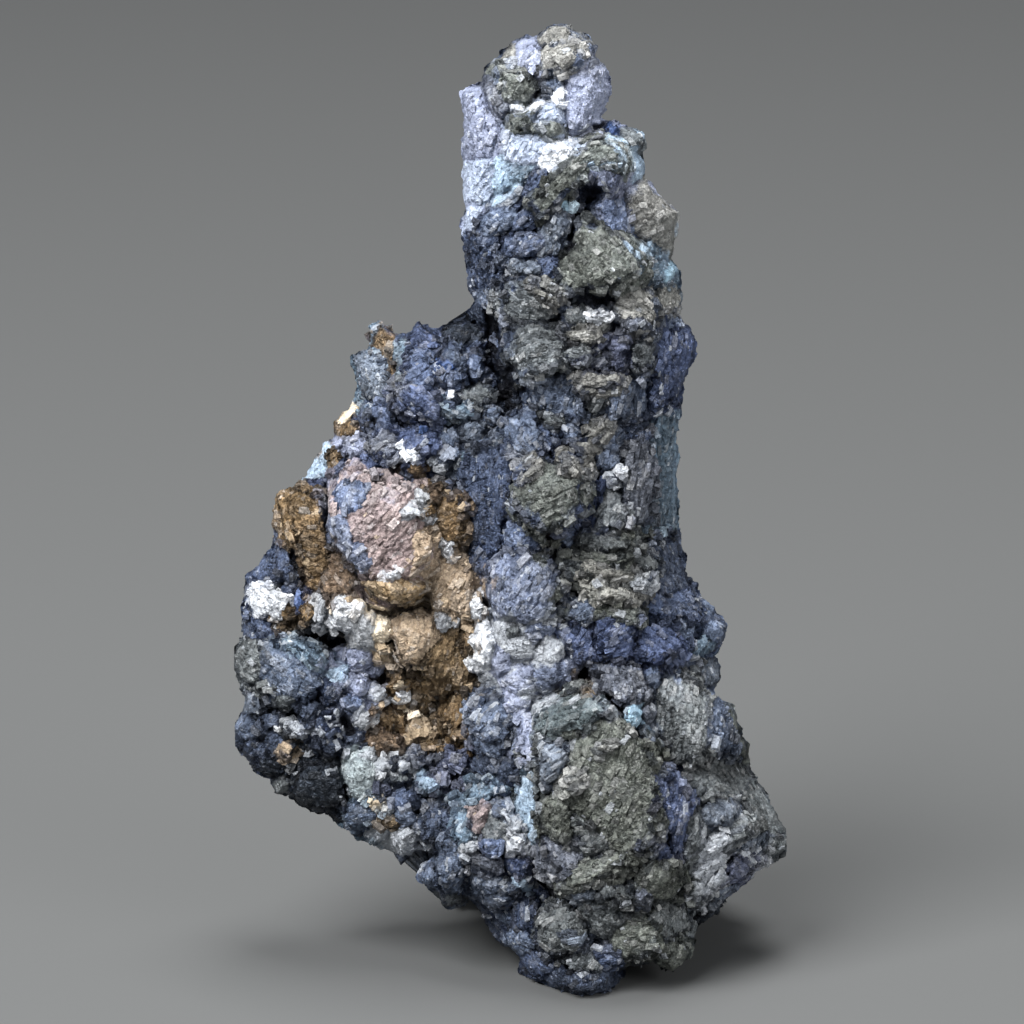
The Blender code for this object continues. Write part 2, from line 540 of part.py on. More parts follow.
def floor_cutter():
    """A large box under the floor."""
    bm = bmesh.new()
    bmesh.ops.create_cube(bm, size=1.0)
    size = Vector((2.0 * CUTTER_REACH, 2.0 * CUTTER_REACH, CUTTER_REACH))
    bmesh.ops.scale(bm, vec=size, verts=bm.verts)
    bmesh.ops.translate(bm, vec=(0.0, 0.0, -CUTTER_REACH / 2), verts=bm.verts)
    return new_object("floor_cutter", bm)


def combine(body, others, operation):
    """Applies one exact Boolean of the body with a group of objects, which are then removed."""
    group = bpy.data.collections.new("operands")
    bpy.context.scene.collection.children.link(group)
    for other in others:
        bpy.context.scene.collection.objects.unlink(other)
        group.objects.link(other)
        other.hide_render = True
        other.display_type = "WIRE"
    modifier = body.modifiers.new(operation.lower(), "BOOLEAN")
    modifier.operation = operation
    modifier.operand_type = "COLLECTION"
    modifier.collection = group
    modifier.solver = "EXACT"
    bpy.context.view_layer.update()
    evaluated = body.evaluated_get(bpy.context.evaluated_depsgraph_get())
    mesh = bpy.data.meshes.new_from_object(evaluated)
    body.modifiers.clear()
    body.data = mesh
    for other in others:
        bpy.data.objects.remove(other)
    bpy.data.collections.remove(group)


def shells_of(bm):
    """The mesh's connected groups of faces."""
    waiting = set(bm.faces)
    groups = []
    while waiting:
        front = [waiting.pop()]
        group = list(front)
        while front:
            face = front.pop()
            for edge in face.edges:
                for near in edge.link_faces:
                    if near in waiting:
                        waiting.discard(near)
                        front.append(near)
                        group.append(near)
        groups.append(group)
    return groups


def tidy_shell(body):
    """Joins the pieces of flat faces, keeps the outer shell alone and leaves triangles."""
    bm = bmesh.new()
    bm.from_mesh(body.data)
    bmesh.ops.dissolve_limit(bm, angle_limit=FLAT_ANGLE, verts=bm.verts, edges=bm.edges)
    shells = sorted(shells_of(bm), key=len)
    for shell in shells[:-1]:
        bmesh.ops.delete(bm, geom=shell, context="FACES")
    loose = [vert for vert in bm.verts if not vert.link_faces]
    bmesh.ops.delete(bm, geom=loose, context="VERTS")
    bmesh.ops.triangulate(bm, faces=bm.faces[:])
    bmesh.ops.recalc_face_normals(bm, faces=bm.faces[:])
    bm.to_mesh(body.data)
    bm.free()


def to_metres_on_origin(body):
    """Puts the middle of the plan over the origin, the flat spot on the floor, and scales to metres."""
    corners = np.array([vertex.co for vertex in body.data.vertices])
    low = corners.min(axis=0)
    high = corners.max(axis=0)
    shift = Vector((-(low[0] + high[0]) / 2, -(low[1] + high[1]) / 2, -low[2]))
    body.data.transform(Matrix.Scale(MM, 4) @ Matrix.Translation(shift))


def stone_material():
    """Dull metallic blue-grey."""
    material = bpy.data.materials.new("chalcocite_stone")
    material.use_nodes = True
    shader = material.node_tree.nodes["Principled BSDF"]
    shader.inputs["Base Color"].default_value = BASE_COLOUR
    shader.inputs["Metallic"].default_value = METALLIC
    shader.inputs["Roughness"].default_value = ROUGHNESS
    return material


def main():
    for old in list(bpy.data.objects):
        bpy.data.objects.remove(old)
    rng = np.random.default_rng(SEED)
    tower = Core(TOWER)
    lobe = Core(LOBE)
    body = core_object(NODE, tower, rng)
    grown = [core_object("lobe", lobe, rng)] + heel_objects(rng)
    for name, rows, core in (
        ("top", TOWER_TOP, tower),
        ("middle", TOWER_MIDDLE, tower),
        ("foot", TOWER_FOOT, tower),
        ("tip", RIGHT_TIP, tower),
        ("lobe", LOBE_CRYSTALS, lobe),
    ):
        grown += [crystal_object(f"{name}_{index}", row, core, rng) for index, row in enumerate(rows)]
    for name, rows, core in (("tower", TOWER_FACED, tower), ("lobe", LOBE_FACED, lobe)):
        grown += [faced_object(f"{name}_faced_{index}", row, core, rng) for index, row in enumerate(rows)]
    for name, rows, core in (("tower", TOWER_STACKS, tower), ("lobe", LOBE_STACKS, lobe)):
        for index, row in enumerate(rows):
            grown += stack_objects(f"{name}_stack_{index}", row, core, rng)
    grown += druse_objects(lobe, rng)
    grown += back_objects("tower_back", tower, BACK_BLOCKS["tower"], rng)
    grown += back_objects("lobe_back", lobe, BACK_BLOCKS["lobe"], rng)
    combine(body, grown, "UNION")
    cutters = [floor_cutter()]
    for name, rows, core in (("tower", TOWER_HOLLOWS, tower), ("lobe", LOBE_HOLLOWS, lobe)):
        cutters += [crystal_object(f"{name}_hollow_{index}", row, core, rng) for index, row in enumerate(rows)]
    combine(body, cutters, "DIFFERENCE")
    tidy_shell(body)
    to_metres_on_origin(body)
    body.data.materials.clear()
    body.data.materials.append(stone_material())


main()
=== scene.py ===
"""Chalcocite specimen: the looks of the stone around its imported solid, and a plain pale stage.

Shapes are worked out in millimetres as the front view shows them: across to the right, depth away from
the viewer and height above the floor. Places in the tables are given by `across` and by `up`, the height
in the picture as seen from SIGHT_DOWN above the horizontal. Finished meshes are written in metres.
Random numbers come from lattice_random. Calls that need one take a salt, a number that sets it apart.
"""

import math
from collections import namedtuple

import bpy
import numpy as np
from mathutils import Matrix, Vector


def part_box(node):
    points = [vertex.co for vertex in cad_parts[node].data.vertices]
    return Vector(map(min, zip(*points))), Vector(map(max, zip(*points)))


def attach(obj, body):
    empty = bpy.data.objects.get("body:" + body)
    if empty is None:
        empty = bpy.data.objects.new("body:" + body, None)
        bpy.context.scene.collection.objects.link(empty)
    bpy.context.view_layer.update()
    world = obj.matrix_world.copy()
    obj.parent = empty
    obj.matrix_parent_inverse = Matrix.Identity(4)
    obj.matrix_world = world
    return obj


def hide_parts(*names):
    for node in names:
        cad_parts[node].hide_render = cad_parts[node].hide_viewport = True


bl_info = {
    "name": "Chalcocite specimen",
    "version": (1, 0, 0),
    "blender": (4, 5, 0),
    "location": "3D View > Sidebar > Stone",
    "description": "Builds the tarnished surface, crystals and flakes of a chalcocite specimen",
    "category": "Object",
}

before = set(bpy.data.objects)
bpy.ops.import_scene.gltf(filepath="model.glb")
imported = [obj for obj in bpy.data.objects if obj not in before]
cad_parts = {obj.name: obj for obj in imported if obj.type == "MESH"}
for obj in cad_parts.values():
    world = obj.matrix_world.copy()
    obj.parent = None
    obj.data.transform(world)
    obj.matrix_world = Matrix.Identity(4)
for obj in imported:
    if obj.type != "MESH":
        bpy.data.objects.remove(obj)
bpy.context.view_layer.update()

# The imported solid's names and box
NODE = "chalcocite"
BODY = "root"
STONE_LOW, STONE_HIGH = (np.array(corner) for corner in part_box(NODE))

# The front view: its zero in the row frame, and the line of sight down to the stone
MM = 0.001
ACROSS_MIDDLE = -0.028
DEPTH_MIDDLE = 1.012
FOOT_FRONT_DEPTH = -14.0
SIGHT_DOWN = math.radians(14.5)
SIGHT = np.array([0.0, math.cos(SIGHT_DOWN), -math.sin(SIGHT_DOWN)])
UPRIGHT = np.array([0.0, math.sin(SIGHT_DOWN), math.cos(SIGHT_DOWN)])
RIGHT = np.array([1.0, 0.0, 0.0])

# The camera's frame: its width at the stone, and its middle across and up
FRAME_WIDTH = 87.04
FRAME_ACROSS = 0.085
FRAME_UP = 41.055
SENSOR_MM = 36.0

# The front's window across and up, and the cells in which the solid's nearest depth is read and blurred
WINDOW_LOW = np.array([-25.0, -1.6])
WINDOW_HIGH = np.array([25.4, 83.2])
DEPTH_VOXEL = 0.36
DEPTH_CELL = 0.6
DEPTH_ROUNDS = 8
SPREAD_ROUNDS = 60

# A lattice cell and the 26 round it, and a cell's eight corners
NEAR_CELLS = np.stack(np.meshgrid(*[[-1, 0, 1]] * 3), axis=-1).reshape(-1, 3)
CORNER_CELLS = np.stack(np.meshgrid(*[[0, 1]] * 3), axis=-1).reshape(-1, 3)

# Corners and faces of a box two wide, its outer end last
BOX_CORNERS = np.array([(x, y, z) for z in (-1.0, 1.0) for x, y in ((-1, -1), (1, -1), (1, 1), (-1, 1))])
BOX_FACES = np.array([(3, 2, 1, 0), (4, 5, 6, 7), (0, 1, 5, 4), (1, 2, 6, 5), (2, 3, 7, 6), (3, 0, 4, 7)])

# The stone's outline as the front view shows it, across and up
OUTLINE = (
    (-4.0, 76.0), (-2.3, 77.0), (-2.0, 78.0), (-1.0, 79.0), (0.3, 80.2), (1.0, 80.6), (2.4, 80.7),
    (3.0, 81.6), (4.2, 81.9), (5.0, 81.3), (6.5, 80.5), (7.0, 79.9), (7.0, 79.0), (8.0, 78.0),
    (8.2, 76.0), (8.0, 75.3), (7.6, 74.0), (8.6, 73.7), (9.7, 73.2), (11.0, 72.6), (11.1, 72.0),
    (10.7, 71.2), (11.0, 70.4), (11.1, 69.0), (12.3, 67.7), (13.9, 66.2), (13.3, 62.3), (14.1, 61.2),
    (14.2, 57.6), (15.0, 56.4), (15.4, 55.5), (15.4, 54.5), (14.7, 52.5), (14.3, 51.0), (14.2, 49.0),
    (13.9, 47.5), (13.8, 44.0), (14.0, 41.0), (14.2, 39.0), (14.8, 36.0), (15.6, 34.5), (16.2, 33.6),
    (17.0, 33.0), (17.4, 32.4), (18.3, 31.5), (18.2, 30.0), (17.3, 29.0), (17.8, 26.8), (17.0, 26.0),
    (17.8, 24.8), (18.8, 24.4), (19.3, 22.5), (20.1, 21.0), (20.1, 20.0), (21.0, 18.0), (22.5, 15.5),
    (23.5, 14.0), (24.0, 12.0), (22.5, 11.2), (21.0, 10.4), (20.0, 9.5), (18.6, 8.4), (17.7, 7.0),
    (15.8, 6.0), (15.5, 4.5), (15.0, 3.2), (13.7, 2.0), (12.0, 2.9), (10.0, 2.6), (9.3, 1.8), (8.3, 0.5),
    (6.0, -0.2), (4.5, 0.3), (3.0, 1.2), (0.8, 1.8), (0.8, 3.3), (-0.5, 4.0), (-2.0, 5.8), (-3.0, 7.7),
    (-3.7, 8.5), (-4.0, 7.4), (-5.5, 7.3), (-6.0, 8.2), (-7.6, 9.6), (-8.0, 10.0), (-7.5, 11.0),
    (-6.3, 12.0), (-8.0, 12.3), (-9.4, 11.0), (-10.0, 12.0), (-12.0, 12.7), (-13.5, 13.6), (-15.5, 15.3),
    (-17.0, 15.7), (-19.0, 16.9), (-20.2, 17.0), (-20.2, 18.5), (-21.5, 18.8), (-23.0, 20.3),
    (-23.6, 21.8), (-23.7, 22.8), (-22.8, 24.0), (-22.7, 25.3), (-22.9, 26.0), (-23.7, 28.8),
    (-23.0, 30.0), (-22.8, 32.0), (-22.4, 35.5), (-21.4, 36.6), (-20.0, 37.8), (-20.2, 39.0),
    (-20.1, 42.3), (-18.5, 43.2), (-17.7, 43.8), (-16.5, 45.2), (-15.7, 46.8), (-14.8, 47.3),
    (-14.8, 48.6), (-13.5, 50.0), (-12.8, 51.5), (-13.4, 54.1), (-12.0, 54.6), (-11.8, 56.5),
    (-11.0, 56.9), (-9.5, 56.0), (-8.4, 56.4), (-7.8, 57.2), (-7.0, 56.5), (-6.0, 56.2), (-5.2, 56.9),
    (-4.0, 57.1), (-2.7, 56.5), (-2.2, 56.6), (-3.5, 58.0), (-3.0, 58.7), (-3.5, 60.0), (-3.7, 62.0),
    (-4.0, 64.0), (-3.9, 68.0), (-4.0, 70.0),
)

# Rows of the tables: a crystal by its corners or by its middle and size, a hollow, a zone of tarnish,
# and a layer of the druse's cubes
Cut = namedtuple("Cut", "kind paint out corners grain", defaults=(None,))
Lump = namedtuple("Lump", "kind paint across up wide tall lean out grain", defaults=(None,))
Hollow = namedtuple("Hollow", "paint across up wide tall lean deep")
Zone = namedtuple("Zone", "paint across up reach")
Cubes = namedtuple("Cubes", "size squat salt bend edge")

# By kind of crystal: the corners a lump gets, the width of its bevels as a share of its smaller half, the
# share of its height that stands at its outline, and how calm its faces are, from 0 for rough ground to 1
LUMP_SIDES = {"block": 5, "slab": 4, "dome": 9, "shard": 5}
BEVEL_SHARE = {"block": 0.8, "slab": 0.5, "dome": 1.0, "shard": 1.0}
WALL = {"block": 0.45, "slab": 0.75, "dome": 0.0, "shard": 0.15}
CALM = {"block": 0.95, "slab": 0.88, "dome": 0.7, "shard": 0.9}
ROUND_BEVEL = 0.9
TABLE_LEAN = 0.45

# How steeply a crystal falls outside its outline, how far it reaches, and how far its outline is bent
FLANK = 2.0
FLANK_REACH = 1.3
OUTLINE_BEND = 0.18

# Striations: their spacing, and their height where a crystal has a grain of its own and where it has none
TEETH_PITCH = 0.55
TEETH_HIGH = 0.1
TEETH_LOW = 0.03

# How low and high the front's crystals stand over their broad form, the share of that form which the
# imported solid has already, and the room left behind the box's front
LOWEST = -1.2
HIGHEST = 1.8
IN_SOLID = 0.75
ROOM = 1.3
ROLL_IN = 0.6

# The rim: how it rolls back, the waves and cubes that break it, and the skirt's rings backwards and inwards
RIM_ROLL = 2.2
RIM_NEAR = 1.2
RIM_WAVE = (0.2, 1.3)
RIM_CUBES = ((1.3, 53), (0.7, 57))
RIM_BREAK = 0.4
SKIRT_RINGS = ((1.0, 0.3), (2.2, 0.9), (3.4, 1.9))

# The skin: how far it keeps inside the front's outline and behind the front, and its crystals' height
SKIN_INSIDE = 0.7
SKIN_BEHIND = 3.4
SKIN_LIFT = 0.8
SKIN_WAVE = (0.25, 3.0)
SKIN_CALM = 0.7
OUTLINE_STEP = 0.2

# The druse: its three layers of cubes, its creases' size, and the layers' shares of rough and calm relief
DRUSE = (Cubes(1.5, 1.4, 13, 0.0, 1.0), Cubes(0.85, 1.8, 23, 0.1, 1.1), Cubes(0.46, 1.8, 43, 0.0, 1.5))
CREASE_SIZE = 0.8
ROUGH_SHARES = (0.8, 0.8, 0.9, 0.2)
CALM_SHARES = (0.05, 0.12, 0.34, 0.08)

# Small crystals grown on the stone: scales and grains of the front by name, thickness as a share of their
# size, least thickness, how loosely they follow the grain, tilt and salt, and the back's tilt and salt
SCALES = ("front_scales", 0.12, 0.06, 0.5, 0.22, 201)
GRAINS = ("front_grains", 0.6, 0.08, 2.0, 0.6, 301)
BACK_TILT = 0.5
BACK_SALT = 401
PATCH_SIZE = 1.8
PATCH_SWING = 0.8
STANDS_OFF = 0.1
# The share of small crystals made bright: pale flakes and painted glints
BRIGHT_SHARE = 0.035

# Tints of the tarnish where it is worn paler and given a painted highlight on crests, of the painted shade in
# low places, in the druse's cracks and in seams, the lightness from which a tarnish counts as pale, the colour
# of the painted shade in the hollows, and how far zones and patches of it wander
WEAR_AND_HIGHLIGHT_TINT = np.array([1.12, 1.09, 1.03])
PAINTED_SHADE_TINT = np.array([0.36, 0.4, 0.5])
CRACK_SHADE_TINT = np.array([0.26, 0.29, 0.34])
SEAM_SHADE_TINT = np.array([0.22, 0.24, 0.3])
PALE = (0.16, 0.5)
PALE_GROUND = (0.2, 0.45)
HOLLOW_SHADE_CODE = "17181e"
ZONE_WANDER = 0.9

# The shader's flakes: cells a millimetre, tilt and lightness by layer, and how it is bent and grained
FLAKES = ((3.6, 1.2, 0.28), (7.0, 0.9, 0.24))
FLAKE_LIGHT = 0.7
FLAKE_BEND = (1.8, 0.9)
GRIT = (5.0, 0.2)

# The stage in metres: the lights' places and sides, the point they face, and the floor's sweep
LIGHTS = {
    "key": ((-0.35, -0.4, 0.6), 0.45),
    "fill": ((0.6, -0.5, 0.3), 0.4),
    "top": ((0.05, 0.05, 0.8), 0.35),
}
LIT_POINT = (0.0, 0.0, 0.04)
FLOOR_HALF = 2.0
FLOOR_FRONT = -1.2
SWEEP_START = 0.55
SWEEP_RADIUS = 0.4
SWEEP_STEPS = 24
BACKDROP_TOP = 2.4

# The front's pieces, by how far up the picture they lie
FRONT_BANDS = (("front_foot", -10.0, 20.0), ("front_middle", 20.0, 38.0), ("front_tower", 38.0, 100.0))

# Crystals with outlines of their own: the tower's top
TOP_CRYSTALS = (
    Cut("block", "beige", 2.4, ((2.2, 79.2), (3.0, 79.9), (5.2, 79.9), (5.7, 78.8), (4.8, 77.7),
        (2.6, 77.6))),
    Cut("dome", "beige", 1.5, ((2.2, 80.3), (3.1, 81.6), (4.3, 81.9), (5.2, 81.2), (5.2, 79.8),
        (2.6, 79.8))),
    Cut("block", "beige", 1.0, ((4.9, 81.4), (6.9, 80.1), (6.6, 78.6), (5.4, 78.6), (4.9, 79.9))),
    Cut("dome", "lavender", 1.6, ((0.3, 80.4), (2.0, 80.8), (2.5, 79.0), (2.3, 77.3), (0.6, 77.5),
        (0.2, 79.0))),
    Cut("dome", "beige", 1.4, ((-0.9, 78.9), (0.3, 80.3), (0.5, 78.6), (-0.2, 77.7), (-0.9, 78.0))),
    Cut("block", "olive", 2.3, ((-0.8, 77.7), (0.8, 77.4), (2.0, 76.4), (2.1, 75.5), (1.2, 74.8),
        (0.0, 75.3))),
    Cut("dome", "mauve", 1.3, ((-2.1, 77.6), (-1.0, 78.4), (-0.4, 76.4), (0.1, 74.8), (-1.0, 73.9),
        (-2.2, 75.4))),
    Cut("slab", "lavender", 0.9, ((-4.0, 76.1), (-2.8, 76.2), (-1.9, 74.2), (-0.7, 72.4), (-1.2, 70.4),
        (-4.1, 70.4)), 80),
    Cut("dome", "lavender", 1.8, ((4.7, 77.4), (6.0, 78.2), (8.0, 77.8), (8.2, 75.6), (7.3, 73.2),
        (5.2, 72.8), (4.5, 74.8))),
    Cut("block", "mauve", 1.3, ((5.4, 79.4), (6.8, 79.6), (7.6, 78.2), (6.4, 77.6), (5.4, 78.2))),
    Cut("block", "olive", 1.6, ((2.2, 72.9), (3.2, 73.6), (4.2, 73.3), (4.6, 72.4), (3.2, 72.1))),
    Cut("block", "olive", 1.4, ((-0.3, 73.8), (1.3, 73.9), (1.3, 73.0), (0.2, 72.2))),
    Cut("block", "pale", 1.3, ((2.2, 74.7), (3.7, 74.8), (4.2, 73.6), (2.4, 73.5))),
    Cut("slab", "white", 1.9, ((2.4, 69.9), (3.0, 70.8), (4.5, 71.0), (4.6, 70.1), (3.6, 69.0),
        (2.6, 68.9))),
    Cut("slab", "pale", 0.9, ((-0.4, 72.4), (2.2, 72.4), (5.0, 71.6), (4.4, 70.6), (1.4, 70.0),
        (-0.6, 70.6)), 60),
    Cut("block", "violet", 2.1, ((5.0, 68.7), (5.6, 70.2), (6.8, 71.3), (7.9, 71.3), (8.9, 70.0),
        (9.0, 68.9), (8.2, 68.0), (7.0, 68.6))),
    Cut("slab", "olive", 3.1, ((5.6, 69.8), (6.4, 71.6), (7.4, 72.0), (8.9, 71.0), (9.0, 69.8),
        (7.8, 70.1))),
    Cut("dome", "sky", 1.0, ((8.0, 71.9), (9.6, 71.6), (10.9, 70.4), (11.2, 69.0), (10.4, 68.1),
        (9.2, 68.6), (9.1, 70.2))),
    Cut("block", "grey", 0.8, ((9.0, 73.1), (10.0, 73.2), (11.1, 72.3), (10.9, 71.4), (9.4, 71.8))),
    Cut("block", "blue", 0.2, ((7.5, 73.0), (8.0, 73.9), (9.0, 73.4), (8.6, 72.5), (7.6, 72.3))),
    Cut("block", "beige", 2.1, ((10.1, 67.4), (11.6, 68.2), (13.9, 66.2), (13.5, 62.4), (11.8, 63.6),
        (10.4, 64.4), (9.7, 65.9))),
    Cut("dome", "periwinkle", 1.1, ((7.0, 66.4), (8.2, 67.3), (10.1, 67.3), (10.3, 65.4), (10.4, 64.0),
        (8.6, 64.3), (7.4, 65.3))),
    Cut("block", "olive", 3.0, ((3.6, 61.2), (4.2, 62.8), (5.6, 64.6), (6.3, 65.1), (8.0, 64.4),
        (10.5, 62.4), (10.3, 61.0), (8.7, 59.9), (6.0, 59.5), (4.3, 60.1))),
    Cut("block", "beige", 1.2, ((12.1, 58.8), (12.8, 60.0), (13.8, 59.8), (14.3, 58.8), (13.8, 58.0),
        (12.4, 58.1))),
    Cut("slab", "pale", 0.8, ((-4.0, 70.2), (-1.2, 70.2), (-0.6, 68.2), (-2.0, 66.8), (-4.0, 66.9)), 55),
    Cut("dome", "pale", 0.9, ((-3.9, 66.6), (-2.4, 66.4), (-1.9, 65.2), (-2.9, 64.4), (-4.0, 64.4))),
    Cut("block", "sky", 1.0, ((-1.0, 70.2), (0.6, 70.6), (1.4, 69.8), (0.4, 68.6), (-1.0, 68.2)), 50),
    Lump("slab", "olive", 4.2, 68.3, 8.2, 1.7, 46, 3.0, 46),
    Lump("block", "teal", 0.7, 69.0, 3.2, 1.4, 42, 1.8, 42),
    Lump("slab", "indigo", 1.9, 67.6, 3.8, 1.4, 44, 1.8, 44),
    Lump("slab", "steel", -0.2, 66.9, 3.2, 1.3, 40, 1.6, 40),
    Lump("dome", "slate", -1.0, 65.2, 3.4, 2.2, 30, 1.8, 50),
    Lump("dome", "indigo", 1.3, 65.4, 2.8, 1.7, 40, 1.9, 40),
    Lump("block", "steel", 3.4, 64.2, 1.9, 4.0, -14, 1.6, 70),
    Lump("dome", "indigo", 1.0, 63.2, 3.4, 2.0, 5, 2.1, 35),
    Lump("dome", "indigo", -2.2, 63.0, 2.6, 2.6, 0, 1.6, 60),
    Lump("dome", "navy", -0.4, 62.0, 2.4, 1.7, -20, 1.7, 30),
    Lump("dome", "steel", 1.2, 61.4, 2.8, 1.4, -5, 2.1, 20),
    Lump("dome", "indigo", 3.0, 61.2, 2.0, 2.0, 20, 1.6, 50),
    Lump("block", "indigo", -1.9, 60.4, 2.8, 2.0, 10, 1.5, 60),
    Lump("slab", "navy", 0.9, 60.2, 3.8, 1.1, 8, 1.6, 10),
    Lump("block", "cyan", 4.2, 66.5, 1.2, 1.8, -8, 1.4, 80),
    Lump("dome", "mauve", 4.9, 67.6, 1.6, 2.0, 20, 1.0, 60),
    Lump("block", "slate", -2.0, 59.0, 1.8, 2.2, 0, 1.1),
    Lump("block", "navy", -2.6, 57.4, 2.6, 1.7, -10, 0.7),
    Lump("dome", "teal", 12.0, 61.2, 2.4, 2.2, 0, 1.1),
    Lump("dome", "teal", 11.8, 62.8, 1.8, 1.6, 0, 1.2),
    Lump("dome", "cyan", 13.0, 61.0, 1.4, 1.6, 0, 0.9),
    Lump("dome", "white", 2.0, 74.6, 1.6, 0.8, 30, 1.3),
    Lump("dome", "white", 4.2, 75.4, 1.2, 1.6, 20, 1.4),
    Lump("dome", "white", 0.6, 74.4, 1.4, 0.7, -20, 1.2),
    Lump("dome", "slate", 3.6, 76.4, 1.8, 1.2, 0, 0.9),
)

